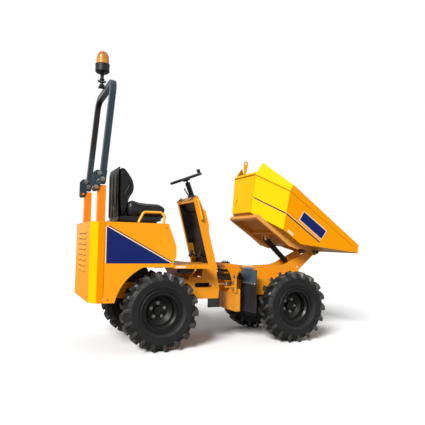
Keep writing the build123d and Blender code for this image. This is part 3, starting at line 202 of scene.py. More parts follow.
@dataclass(frozen=True)
class Enamel(Finish):
    """Sprayed machine enamel on sheet steel: glossy, a little wavy, dusty where dust can lie."""

    faded: str = "#FFB42E"
    dust: str = "#A88A5C"
    primer: str = "#4A3A2C"
    dust_share: float = 0.22
    grime_height: float = 0.55
    grime_share: float = 0.35
    chips: float = 0.0
    coat: float = 0.06
    coat_roughness: float = 0.12
    specular: float = 0.22

    def dress(self, canvas: Canvas) -> None:
        """Fades it in broad patches, dusts level faces and low parts, and chips it.

        Args:
            canvas: The tree, the shader and the place.
        """
        tree, place = canvas.tree, canvas.place
        # Patches about 350 mm across, where the sun and washing have paled the paint.
        patch = add_node(tree, "ShaderNodeTexNoise", {"Vector": place, "Scale": 2.9, "Detail": 3.0})
        fade = add_node(tree, "ShaderNodeMapRange", {"Value": patch, "From Min": 0.42,
                                                     "From Max": 0.68, "To Max": 0.55})
        paint = add_node(tree, "ShaderNodeMix", {0: fade, 6: linear(self.colour),
                                                 7: linear(self.faded)}, data_type="RGBA")
        # Dust lies on faces that look up, in drifts about 60 mm across.
        normal = add_node(tree, "ShaderNodeNewGeometry").outputs["Normal"]
        facing = add_node(tree, "ShaderNodeSeparateXYZ", {0: normal})
        level = add_node(tree, "ShaderNodeMapRange", {"Value": facing.outputs["Z"],
                                                      "From Min": 0.55, "From Max": 0.95})
        drift = add_node(tree, "ShaderNodeTexNoise", {"Vector": place, "Scale": 16.0,
                                                      "Detail": 5.0, "Roughness": 0.65})
        lying = add_node(tree, "ShaderNodeMath", {0: level, 1: drift}, operation="MULTIPLY")
        # Thrown mud grows towards the ground, in spatter about 25 mm across.
        height = add_node(tree, "ShaderNodeSeparateXYZ", {0: place}).outputs["Z"]
        low = add_node(tree, "ShaderNodeMapRange", {"Value": height, "From Min": self.grime_height,
                                                    "From Max": 0.2})
        spatter = add_node(tree, "ShaderNodeTexNoise", {"Vector": place, "Scale": 40.0,
                                                        "Detail": 6.0, "Roughness": 0.7})
        speck = add_node(tree, "ShaderNodeMapRange", {"Value": spatter, "From Min": 0.42,
                                                      "From Max": 0.62, "To Max": self.grime_share})
        mud = add_node(tree, "ShaderNodeMath", {0: low, 1: speck}, operation="MULTIPLY")
        cover = add_node(tree, "ShaderNodeMath", {0: lying, 1: self.dust_share * 1.6, 2: mud},
                         operation="MULTIPLY_ADD", use_clamp=True)
        dusty = add_node(tree, "ShaderNodeMix", {0: cover, 6: paint.outputs[2],
                                                 7: linear(self.dust)}, data_type="RGBA")
        colour = dusty.outputs[2]
        if self.chips > 0:
            # Chips about 8 mm across show the dark primer.
            nick = add_node(tree, "ShaderNodeTexNoise", {"Vector": place, "Scale": 95.0,
                                                         "Detail": 4.0})
            bare = add_node(tree, "ShaderNodeMapRange", {"Value": nick, "To Max": 0.8,
                                                         "From Min": 0.74 - self.chips,
                                                         "From Max": 0.76 - self.chips})
            colour = add_node(tree, "ShaderNodeMix", {0: bare, 6: colour, 7: linear(self.primer)},
                              data_type="RGBA").outputs[2]
        dull = add_node(tree, "ShaderNodeMapRange", {"Value": cover, "To Min": self.roughness,
                                                     "To Max": min(self.roughness + 0.4, 0.95)})
        # The sheet is wavy over about 200 mm; orange peel of 3 mm is drawn at 6 mm, to show.
        wave = add_node(tree, "ShaderNodeTexNoise", {"Vector": place, "Scale": 5.0, "Detail": 1.0})
        peel = add_node(tree, "ShaderNodeTexNoise", {"Vector": place, "Scale": 160.0,
                                                     "Detail": 2.0})
        broad = add_node(tree, "ShaderNodeBump", {"Height": wave, "Strength": 0.25,
                                                  "Distance": 0.006})
        fine = add_node(tree, "ShaderNodeBump", {"Height": peel, "Strength": 0.06,
                                                 "Distance": 0.001, "Normal": broad})
        feed(tree, canvas.shader, {
            "Base Color": colour, "Roughness": dull, "Normal": fine, "Coat Weight": self.coat,
            "Coat Roughness": self.coat_roughness, "Specular IOR Level": self.specular})


@dataclass(frozen=True)
class PlatePaint(Enamel):
    """Enamel with painted light by plate: a painted highlight on slanting plates, painted shade on
    the flanks and undersides.
    """

    slant: str = "#FFCE12"
    flank: str = "#F39408"
    belly_shade: str = "#B07C3A"

    def dress(self, canvas: Canvas) -> None:
        """Adds the enamel's pattern, and then paints light and shade on it by the way each plate
        faces.

        Args:
            canvas: The tree, the shader and the place.
        """
        super().dress(canvas)
        tree, ground = canvas.tree, canvas.shader.inputs["Base Color"]
        colour = ground.links[0].from_socket
        normal = add_node(tree, "ShaderNodeNewGeometry").outputs["True Normal"]
        facing = add_node(tree, "ShaderNodeSeparateXYZ", {0: normal}).outputs
        across = add_node(tree, "ShaderNodeMath", {0: facing["Y"]}, operation="ABSOLUTE")
        # Painted light: slanting plates get a paler painted highlight, flanks a deeper painted
        # shade, undersides a browner painted shade.
        for value, start, end, share, tint in ((across, 0.3, 0.5, 0.85, self.slant),
                                               (across, 0.84, 0.94, 0.85, self.flank),
                                               (facing["Z"], -0.3, -0.6, 0.75, self.belly_shade)):
            part = add_node(tree, "ShaderNodeMapRange", {"Value": value, "From Min": start,
                                                         "From Max": end, "To Max": share})
            colour = add_node(tree, "ShaderNodeMix", {0: part, 6: colour, 7: linear(tint)},
                              data_type="RGBA").outputs[2]
        tree.links.new(colour, ground)


@dataclass(frozen=True)
class HoopPaint(Enamel):
    """The hoop's slate enamel, with painted shade making the upper half of its left leg browner and
    darker.
    """

    shade: str = "#1C1512"

    def dress(self, canvas: Canvas) -> None:
        """Adds the enamel's pattern and then the painted shade on the upper stretch of the left
        leg.

        Args:
            canvas: The tree, the shader and the place.
        """
        super().dress(canvas)
        tree, ground = canvas.tree, canvas.shader.inputs["Base Color"]
        source = ground.links[0].from_socket
        # Painted shade on the upper stretch of the left leg.
        where = add_node(tree, "ShaderNodeSeparateXYZ", {0: canvas.place}).outputs
        left = add_node(tree, "ShaderNodeMapRange", {"Value": where["Y"], "From Min": 0.05,
                                                     "From Max": 0.3})
        upper = add_node(tree, "ShaderNodeMapRange", {"Value": where["Z"], "From Min": 1.72,
                                                      "From Max": 1.84})
        both = add_node(tree, "ShaderNodeMath", {0: left, 1: upper}, operation="MULTIPLY")
        mix = add_node(tree, "ShaderNodeMix", {0: both, 6: source, 7: linear(self.shade)},
                       data_type="RGBA")
        tree.links.new(mix.outputs[2], ground)


@dataclass(frozen=True)
class Mottled(Finish):
    """A material with a second colour in patches and a grained surface, sized in millimetres."""

    second: str
    patch_mm: float
    grain_mm: float
    grain_depth: float
    patch_share: float = 0.5
    metallic: float = 0.0
    specular: float = 0.3

    def dress(self, canvas: Canvas) -> None:
        """Mixes the two colours by noise and grains the surface at its own size.

        Args:
            canvas: The tree, the shader and the place.
        """
        tree, place = canvas.tree, canvas.place
        patch = add_node(tree, "ShaderNodeTexNoise", {
            "Vector": place, "Scale": 1 / (self.patch_mm * MM), "Detail": 5.0, "Roughness": 0.6})
        share = add_node(tree, "ShaderNodeMapRange", {"Value": patch, "From Min": 0.4,
                                                      "From Max": 0.7, "To Max": self.patch_share})
        mix = add_node(tree, "ShaderNodeMix", {0: share, 6: linear(self.colour),
                                               7: linear(self.second)}, data_type="RGBA")
        rough = add_node(tree, "ShaderNodeMapRange", {"Value": patch,
                                                      "To Min": max(self.roughness - 0.1, 0.05),
                                                      "To Max": min(self.roughness + 0.1, 1.0)})
        grain = add_node(tree, "ShaderNodeTexNoise", {
            "Vector": place, "Scale": 1 / (self.grain_mm * MM), "Detail": 3.0})
        bump = add_node(tree, "ShaderNodeBump", {"Height": grain, "Strength": self.grain_depth,
                                                 "Distance": 0.002})
        feed(tree, canvas.shader, {
            "Base Color": mix.outputs[2], "Roughness": rough, "Normal": bump,
            "Metallic": self.metallic, "Specular IOR Level": self.specular})


@dataclass(frozen=True)
class Vinyl(Finish):
    """Black seat vinyl, embossed with a leather grain: soft gloss, paler where it is rubbed."""

    rubbed: str = "#1F2021"
    specular: float = 0.3

    def dress(self, canvas: Canvas) -> None:
        """Embosses cells; the real grain of 2 mm is drawn at 7 mm, so that it shows.

        Args:
            canvas: The tree, the shader and the place.
        """
        tree, place = canvas.tree, canvas.place
        cells = add_node(tree, "ShaderNodeTexVoronoi", {"Vector": place, "Scale": 140.0},
                         feature="DISTANCE_TO_EDGE")
        edge = add_node(tree, "ShaderNodeMapRange", {"Value": cells.outputs["Distance"],
                                                     "From Max": 0.25})
        rub = add_node(tree, "ShaderNodeTexNoise", {"Vector": place, "Scale": 9.0, "Detail": 4.0})
        share = add_node(tree, "ShaderNodeMapRange", {"Value": rub, "From Min": 0.45,
                                                      "From Max": 0.7, "To Max": 0.35})
        mix = add_node(tree, "ShaderNodeMix", {0: share, 6: linear(self.colour),
                                               7: linear(self.rubbed)}, data_type="RGBA")
        rough = add_node(tree, "ShaderNodeMapRange", {"Value": rub,
                                                      "To Min": self.roughness - 0.12,
                                                      "To Max": self.roughness + 0.12})
        bump = add_node(tree, "ShaderNodeBump", {"Height": edge, "Strength": 0.12,
                                                 "Distance": 0.0012})
        feed(tree, canvas.shader, {"Base Color": mix.outputs[2], "Roughness": rough,
                                   "Normal": bump, "Specular IOR Level": self.specular})


@dataclass(frozen=True)
class Lens(Finish):
    """Moulded amber polycarbonate that the light comes through, with painted shade making it
    browner towards its closed top.
    """

    top: str = "#BE6A22"
    span: tuple[float, float] = (2.56, 2.687)

    def dress(self, canvas: Canvas) -> None:
        """Makes it clear, and deepens it with height as painted shade.

        Args:
            canvas: The tree, the shader and the place.
        """
        tree = canvas.tree
        # Painted shade: the dome darkens towards its top.
        height = add_node(tree, "ShaderNodeSeparateXYZ", {0: canvas.place}).outputs["Z"]
        share = add_node(tree, "ShaderNodeMapRange", {"Value": height, "From Min": self.span[0],
                                                      "From Max": self.span[1]})
        mix = add_node(tree, "ShaderNodeMix", {0: share, 6: linear(self.colour),
                                               7: linear(self.top)}, data_type="RGBA")
        feed(tree, canvas.shader, {"Base Color": mix.outputs[2], "Transmission Weight": 0.3,
                                   "IOR": 1.58})


# Sprayed enamel on the sheet body; the skip's is yellower, partly as painted highlight, the posts'
# redder.
BODY = Enamel("enamel_body_amber", "#F59C0A", 0.3, faded="#FCA718", dust_share=0.12)
# The cover's and the skip's plates carry painted light: a highlight on slanting plates, shade on
# flanks and undersides.
COVER = PlatePaint("enamel_cover_amber", "#F6A40C", 0.3, faded="#F8AA12", dust_share=0.04,
                   slant="#FFBE06", flank="#EE8404", belly_shade="#C07818", coat=0.0, specular=0.015)
SKIP = PlatePaint("enamel_skip_yellow", "#FFC208", 0.32, faded="#FFC60E", dust_share=0.1,
                  slant="#FFC60C", flank="#EA8C06", coat=0.0, specular=0.03)
# The cradle's duller tan is painted shade on the yellow enamel under the tipped skip; its dust and
# chips are real.
CRADLE = Enamel("enamel_under_skip", "#E2A04A", 0.5, faded="#B88A50", dust_share=0.3, chips=0.04)
CHASSIS = Enamel("enamel_chassis_amber", "#F0980C", 0.36, faded="#DE901C", dust_share=0.25,
                 chips=0.03, grime_height=0.8)
POSTS = Enamel("enamel_post_orange", "#F08406", 0.34, faded="#F48C14")
HANDRAIL = Enamel("enamel_handrail", "#F7B01E", 0.28, faded="#FFBE3A", specular=0.4)
HOOP = HoopPaint("enamel_hoop_slate", "#26343D", 0.42, faded="#303E45", dust="#5A5F60")
BLACK = Enamel("enamel_black_satin", "#101112", 0.42, faded="#1A1B1C", dust="#3A3632")
RIM = Enamel("enamel_rim_black", "#08090A", 0.36, faded="#101112", dust="#3A352E",
             grime_height=0.6, grime_share=0.18, specular=0.25)
SLATE = Enamel("enamel_slate_sheet", "#46586A", 0.45, faded="#56687A", dust="#6A6A66", chips=0.02)
# Carbon-black tyre rubber; the lugs are scuffed grey and hold dry mud.
SIDEWALL = Mottled("tyre_sidewall_rubber", "#0F1011", 0.55, "#1E1D1B", 90.0, 5.0, 0.18)
TREAD = Mottled("tyre_lug_rubber", "#191A1A", 0.46, "#57544C", 45.0, 9.0, 0.4, patch_share=0.55,
                specular=0.6)
FLAP = Mottled("flap_rubber_sheet", "#1E2124", 0.72, "#3B3D3F", 120.0, 7.0, 0.25)
HOSE = Mottled("hose_rubber", "#101112", 0.55, "#242424", 40.0, 4.0, 0.15)
# Injection-moulded ABS with a spark-eroded grain.
PLASTIC = Mottled("moulded_black_abs", "#131517", 0.48, "#22272B", 80.0, 5.0, 0.12)
LINER = Mottled("moulded_liner_black", "#0C0B0B", 0.42, "#241F1C", 110.0, 8.0, 0.2, patch_share=0.7)
SHELL = Mottled("moulded_shell_umber", "#110E0B", 0.46, "#2A221A", 70.0, 8.0, 0.15, patch_share=0.7,
                specular=0.18)
# The console's inside: the same amber, under years of boot dirt, and darker still as painted shade.
DIRT_AND_SHADE = Enamel("enamel_boot_worn", "#A8690C", 0.5, faded="#7A5420", dust_share=0.4, chips=0.05)
IRON = Mottled("sand_cast_iron_painted", "#161616", 0.62, "#3A3028", 70.0, 7.0, 0.5)
ENGINE = Mottled("cast_engine_grey", "#2B2D2F", 0.55, "#1B1A19", 80.0, 9.0, 0.4)
ZINC = Mottled("zinc_plated_steel", "#A9AAA6", 0.38, "#7C776C", 14.0, 3.0, 0.1, metallic=1.0)
STEEL = Mottled("worn_bare_steel", "#8C8880", 0.42, "#5C4A38", 30.0, 5.0, 0.2, metallic=0.9)
CHROME = Mottled("hard_chromed_rod", "#D9DBDD", 0.12, "#B9BABA", 50.0, 20.0, 0.02, metallic=1.0)
VINYL = Vinyl("seat_vinyl_embossed", "#0C0D0F", 0.3)
LENS = Lens("amber_polycarbonate", "#FBA60C", 0.22)
REFLECTOR = Mottled("pressed_reflector", "#F2B050", 0.2, "#F8D9A0", 30.0, 10.0, 0.1, metallic=0.6)
# Painted shadow: an ochre-brown line for the shade under the skip's folded lip.
FOLD_SHADOW = Mottled("seam_sealer_ochre", "#C2780C", 0.6, "#A8640E", 60.0, 8.0, 0.2, specular=0.1)
# Cast vinyl film, with the slight unevenness of film laid on paint.
NAVY = Mottled("film_navy", "#112060", 0.36, "#152668", 120.0, 30.0, 0.05, specular=0.15)
PALE = Mottled("film_pale", "#F2D8B4", 0.4, "#F7E3C6", 60.0, 30.0, 0.05)
UMBER = Mottled("film_umber", "#3A1E12", 0.4, "#4A2A1C", 60.0, 30.0, 0.05)
# Painted highlight: the dark stripe as it looks on the lit chamfer.
STRIPE_HIGHLIGHT = Mottled("film_plum", "#4B2A4A", 0.4, "#3C2440", 60.0, 30.0, 0.05)


NODE_FINISH: dict[Finish, tuple[str, ...]] = {
    BODY: ("side_panel_right", "side_panel_left", "seat_deck"),
    COVER: ("rear_cover",),
    CHASSIS: ("rear_frame", "front_frame", "floor_plate", "console"),
    POSTS: ("rops_posts",),
    HANDRAIL: ("grab_handle_right", "grab_handle_left", "console_handle_right",
               "console_handle_left"),
    SKIP: ("skip", "lifting_eye"),
    CRADLE: ("skip_cradle",),
    HOOP: ("rops_frame",),
    BLACK: ("beacon_bracket", "steering_column", "control_lever", "seat_base", "tip_ram_barrel",
            "steer_ram_barrel"),
    PLASTIC: ("beacon_base", "steering_wheel"),
    FLAP: ("mud_flap_right", "mud_flap_left", "step_block"),
    STEEL: ("pivot_pin", "pivot_tube"),
    IRON: ("rear_axle", "front_axle"),
    ENGINE: ("engine_block",),
    CHROME: ("tip_ram_rod", "steer_ram_rod"),
    RIM: ("rim_rear_right", "rim_rear_left", "rim_front_right", "rim_front_left"),
}


def dress_nodes() -> None:
    """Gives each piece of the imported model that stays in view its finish."""
    for finish, names in NODE_FINISH.items():
        material = finish.build()
        for name in names:
            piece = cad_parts[name]
            for slot in piece.material_slots:
                slot.material = material
        LOG.info("%s: %d nodes", finish.name, len(names))


# ---- solids
@dataclass(frozen=True)
class Mount:
    """What a piece rides on, and the name of a slot."""

    body: str
    slot: str


REAR_FRAME = Mount("chassis_rear", "frame_yellow")


class Axis(Enum):
    """The axis that a profile is turned about."""

    Y = 1
    Z = 2


class Solid:
    """A closed mesh, built up in millimetres from the datum."""

    def __init__(self) -> None:
        """Starts with no points and no faces."""
        self.points: list[Vector] = []
        self.faces: list[tuple[int, ...]] = []

    def loft(self, rings: Sequence[Sequence[Point]], closed: bool = False) -> Solid:
        """Joins rings of equal length by quads, and caps the ends unless the rings close up.

        Args:
            rings: The rings of points, in order.
            closed: True if the last ring joins the first.

        Returns:
            The solid itself.
        """
        start, count, total = len(self.points), len(rings[0]), len(rings)
        for ring in rings:
            self.points += [Vector(point) for point in ring]
        for row in range(total if closed else total - 1):
            near, far = start + row * count, start + (row + 1) % total * count
            for i in range(count):
                j = (i + 1) % count
                self.faces.append((near + i, near + j, far + j, far + i))
        if not closed:
            last = start + (total - 1) * count
            self.faces.append(tuple(range(start, start + count)))
            self.faces.append(tuple(range(last, last + count)))
        return self

    def side(self, outline: Sequence[Point], low: float, high: float) -> Solid:
        """A plate with its outline (x, z) in side view, between two y values."""
        return self.loft([[(x, y, z) for x, z in outline] for y in (low, high)])

    def across(self, outline: Sequence[Point], low: float, high: float) -> Solid:
        """A plate with its outline (y, z) in rear view, between two x values."""
        return self.loft([[(x, y, z) for y, z in outline] for x in (low, high)])

    def box(self, low: Point, high: Point) -> Solid:
        """A box between two corners."""
        outline = [(low[0], low[2]), (high[0], low[2]), (high[0], high[2]), (low[0], high[2])]
        return self.side(outline, low[1], high[1])

    def tube(self, route: Sequence[Point], radius: float, sides: int = 12,
             closed: bool = False) -> Solid:
        """A round bar along a route.

        Args:
            route: The points of its centre line.
            radius: The bar's radius.
            sides: The number of points round it.
            closed: True if the route is a loop.

        Returns:
            The solid itself.
        """
        path = [Vector(point) for point in route]
        count = len(path)
        side = None
        rings = []
        for i, point in enumerate(path):
            before = path[i - 1] if i or closed else point
            after = path[(i + 1) % count] if i < count - 1 or closed else point
            along = (after - before).normalized()
            if side is None:
                side = along.orthogonal()
            side = (side - along * side.dot(along)).normalized()
            other = along.cross(side)
            turns = [math.tau * k / sides for k in range(sides)]
            rings.append([point + radius * (math.cos(t) * side + math.sin(t) * other)
                          for t in turns])
        return self.loft(rings, closed)

    def lathe(self, profile: Sequence[Point], centre: Point, axis: Axis = Axis.Y,
              steps: int = 64) -> Solid:
        """Turns a closed profile of (radius, place along the axis) about an axis.

        Args:
            profile: The profile's points, in order.
            centre: A point on the axis.
            axis: The axis.
            steps: The number of sections.

        Returns:
            The solid itself.
        """
        x, y, z = centre
        rings = []
        for k in range(steps):
            turn = math.tau * k / steps
            sine, cosine = math.sin(turn), math.cos(turn)
            if axis is Axis.Y:
                rings.append([(x + r * sine, y + h, z + r * cosine) for r, h in profile])
            else:
                rings.append([(x + r * sine, y + r * cosine, z + h) for r, h in profile])
        return self.loft(rings, closed=True)

    def moved(self, matrix: Matrix) -> Solid:
        """Moves every point by a matrix in millimetres."""
        self.points = [matrix @ point for point in self.points]
        return self

    def mesh(self, name: str, local: bool = False) -> Mesh:
        """Makes the mesh, with doubled points merged and faces looking outwards.

        Args:
            name: The mesh's name.
            local: True to leave out the datum, for a shape that is placed later.

        Returns:
            The mesh, in metres.
        """
        data = bpy.data.meshes.new(name)
        places = [p * MM for p in self.points] if local else [DATUM.at(*p) for p in self.points]
        data.from_pydata(places, [], self.faces)
        work = bmesh.new()
        work.from_mesh(data)
        bmesh.ops.remove_doubles(work, verts=work.verts, dist=1e-6)
        bmesh.ops.dissolve_degenerate(work, edges=work.edges, dist=1e-6)
        bmesh.ops.recalc_face_normals(work, faces=work.faces)
        work.to_mesh(data)
        work.free()
        return data

    def piece(self, name: str, finish: Finish, mount: Mount, bevel: float = 0.0,
              smooth: float = 30.0) -> Object:
        """Makes the mesh into a finished piece, as finish_piece does."""
        return finish_piece(self.mesh(name), name, finish, mount, bevel, smooth)


def show(data: Mesh, name: str, finish: Finish, smooth: float) -> Object:
    """Puts a mesh in the scene with its finish.

    Args:
        data: The mesh, in the frame, in metres.
        name: The object's name.
        finish: Its finish.
        smooth: The angle in degrees under which edges are shaded smooth.

    Returns:
        The object.
    """
    data.materials.clear()
    data.materials.append(finish.build())
    data.polygons.foreach_set("use_smooth", [True] * len(data.polygons))
    data.set_sharp_from_angle(angle=math.radians(smooth))
    shown = bpy.data.objects.new(name, data)
    bpy.context.collection.objects.link(shown)
    return shown


def finish_piece(data: Mesh, name: str, finish: Finish, mount: Mount, bevel: float = 0.0,
                 smooth: float = 30.0) -> Object:
    """Puts a mesh in the scene as a piece with its finish and body, and reports it.

    Args:
        data: The mesh, in the frame, in metres.
        name: The piece's name.
        finish: Its finish.
        mount: Its body and slot; the slot is not used.
        bevel: The width in millimetres of the eased edges, or 0.
        smooth: The angle in degrees under which edges are shaded smooth.

    Returns:
        The piece.
    """
    piece = show(data, name, finish, smooth)
    if bevel:
        eased = piece.modifiers.new("eased_edges", "BEVEL")
        eased.width = bevel * MM
        eased.segments = 2
        eased.limit_method = "ANGLE"
        eased.angle_limit = math.radians(40)
        eased.harden_normals = False
    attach(piece, mount.body)
    LOG.info("%s: %d faces on %s", name, len(data.polygons), mount.body)
    return piece


def softened(points: Sequence[Point], closed: bool) -> list[Vector]:
    """Cuts a line's corners twice, a quarter of the way along its sides, until it curves.

    Args:
        points: The line's points.
        closed: True if the line is a loop; an open line keeps its two ends.

    Returns:
        The curve's points.
    """
    line = [Vector(point) for point in points]
    for _ in range(2):
        cut = []
        for a, b in zip(line, line[1:] + line[:1] if closed else line[1:]):
            cut += [a * 0.75 + b * 0.25, a * 0.25 + b * 0.75]
        line = cut if closed else [line[0], *cut, line[-1]]
    return line


# ---- repeated parts
class Repeat:
    """A Geometry Nodes tree with named inputs, run once on a mesh."""

    def __init__(self, name: str, inputs: dict[str, str]) -> None:
        """Starts the tree.

        Args:
            name: The tree's name.
            inputs: The socket type of each input after the geometry, by name.
        """
        self.tree = bpy.data.node_groups.new(name, "GeometryNodeTree")
        face = self.tree.interface
        face.new_socket("Geometry", in_out="INPUT", socket_type="NodeSocketGeometry")
        for label, kind in inputs.items():
            face.new_socket(label, in_out="INPUT", socket_type=kind)
        face.new_socket("Material", in_out="INPUT", socket_type="NodeSocketMaterial")
        face.new_socket("Geometry", in_out="OUTPUT", socket_type="NodeSocketGeometry")
        self.given = self.tree.nodes.new("NodeGroupInput").outputs

    def close(self, shape: Node) -> None:
        """Ends the tree: the instances are made real, then take the material.

        Args:
            shape: The node that gives the instances.
        """
        real = add_node(self.tree, "GeometryNodeRealizeInstances", {0: shape})
        dressed = add_node(self.tree, "GeometryNodeSetMaterial",
                           {"Geometry": real, "Material": self.given["Material"]})
        add_node(self.tree, "NodeGroupOutput", {0: dressed})

    def run(self, source: Mesh, name: str, finish: Finish, **values: object) -> Mesh:
        """Runs the tree on a mesh.

        Args:
            source: The mesh that goes in.
            name: The name of the mesh that comes out.
            finish: The finish that it takes.
            values: The inputs by name, with _ for a space.

        Returns:
            The plain mesh.
        """
        carrier = bpy.data.objects.new(name + "_source", source)
        bpy.context.collection.objects.link(carrier)
        modifier = carrier.modifiers.new("repeat", "NODES")
        modifier.node_group = self.tree
        values["Material"] = finish.build()
        for item in self.tree.interface.items_tree:
            label = item.name.replace(" ", "_")
            if item.in_out == "INPUT" and label in values:
                modifier[item.identifier] = values[label]
        view = bpy.context.evaluated_depsgraph_get()
        result = bpy.data.meshes.new_from_object(carrier.evaluated_get(view))
        result.name = name
        carrier.modifiers.clear()
        bpy.data.objects.remove(carrier)
        return result


@cache
def ring_tree() -> Repeat:
    """Makes the tree that repeats a shape round the Y axis and moves the ring to its centre.

    Returns:
        The tree, with inputs for the count, the first turn and the centre.
    """
    ring = Repeat("repeat_round_axle", {"Count": "NodeSocketInt", "First": "NodeSocketFloat",
                                        "Centre": "NodeSocketVector"})
    tree, given = ring.tree, ring.given
    step = add_node(tree, "ShaderNodeMath", {0: math.tau, 1: given["Count"]}, operation="DIVIDE")
    index = add_node(tree, "GeometryNodeInputIndex")
    turn = add_node(tree, "ShaderNodeMath", {0: index, 1: step, 2: given["First"]},
                    operation="MULTIPLY_ADD")
    euler = add_node(tree, "ShaderNodeCombineXYZ", {"Y": turn})
    rotation = add_node(tree, "FunctionNodeEulerToRotation", {0: euler})
    spots = add_node(tree, "GeometryNodePoints", {"Count": given["Count"]})
    copies = add_node(tree, "GeometryNodeInstanceOnPoints",
                      {"Points": spots, "Instance": given["Geometry"], "Rotation": rotation})
    ring.close(add_node(tree, "GeometryNodeTransform",
                        {"Geometry": copies, "Translation": given["Centre"]}))
    return ring


@cache
def bolt_tree() -> Repeat:
    """Makes the tree that puts a hexagon head with its washer and stud end on each point.

    Each point's facing attribute says which way its bolt looks.

    Returns:
        The tree, with inputs for the size across the flats and the seed of the heads' turns.
    """
    bolts = Repeat("bolts_on_points", {"Across": "NodeSocketFloat", "Seed": "NodeSocketInt"})
    tree, given = bolts.tree, bolts.given
    parts = []
    # Sides, radius, height and rise, as shares of the size across the flats.
    for sides, radius, height, rise in ((18, 0.92, 0.14, 0.07), (6, 0.577, 0.62, 0.45),
                                        (12, 0.3, 0.3, 0.9)):
        sizes = [add_node(tree, "ShaderNodeMath", {0: given["Across"], 1: share},
                          operation="MULTIPLY") for share in (radius, height, rise)]
        drum = add_node(tree, "GeometryNodeMeshCylinder",
                        {"Vertices": sides, "Radius": sizes[0], "Depth": sizes[1]})
        up = add_node(tree, "ShaderNodeCombineXYZ", {"Z": sizes[2]})
        parts.append(add_node(tree, "GeometryNodeTransform",
                              {"Geometry": drum.outputs["Mesh"], "Translation": up}))
    joined = add_node(tree, "GeometryNodeJoinGeometry")
    for part in parts:
        feed(tree, joined, {0: part})
    facing = add_node(tree, "GeometryNodeInputNamedAttribute", {"Name": "facing"},
                      data_type="FLOAT_VECTOR")
    aim = add_node(tree, "FunctionNodeAlignRotationToVector", {"Vector": facing}, axis="Z")
    chance = add_node(tree, "FunctionNodeRandomValue", {"Min": 0.0, "Max": math.tau,
                                                        "Seed": given["Seed"]}, data_type="FLOAT")
    spin = add_node(tree, "ShaderNodeCombineXYZ",
                    {"Z": next(socket for socket in chance.outputs if socket.enabled)})
    turn = add_node(tree, "FunctionNodeEulerToRotation", {0: spin})
    spun = add_node(tree, "FunctionNodeRotateRotation", {0: aim, 1: turn}, rotation_space="LOCAL")
    bolts.close(add_node(tree, "GeometryNodeInstanceOnPoints",
                         {"Points": given["Geometry"], "Instance": joined, "Rotation": spun}))
    return bolts


@dataclass
class Bolts:
    """Hexagon bolts of one size on one body."""

    mount: Mount
    across: float = 18.0
    finish: Finish = ZINC

    def put(self, name: str, spots: Sequence[tuple[Point, Point]], seed: int) -> None:
        """Puts a bolt at each spot.

        Args:
            name: The piece's name.
            spots: Pairs of a point in millimetres and the way the bolt looks.
            seed: The seed of the heads' turns.
        """
        data = bpy.data.meshes.new(name + "_points")
        data.from_pydata([DATUM.at(*point) for point, _ in spots], [], [])
        facing = data.attributes.new("facing", "FLOAT_VECTOR", "POINT")
        for i, (_, way) in enumerate(spots):
            facing.data[i].vector = Vector(way).normalized()
        mesh = bolt_tree().run(data, name, self.finish, Across=self.across * MM, Seed=seed)
        finish_piece(mesh, name, self.finish, self.mount)


class Side(IntEnum):
    """The machine's two sides, by the sign of Y."""

    RIGHT = -1
    LEFT = 1

    @property
    def label(self) -> str:
        """The side's name in node and piece names."""
        return self.name.lower()

    def span(self, near: float, far: float) -> list[float]:
        """The two y values, low and high, of a stretch given from the middle outwards."""
        return sorted((self * near, self * far))


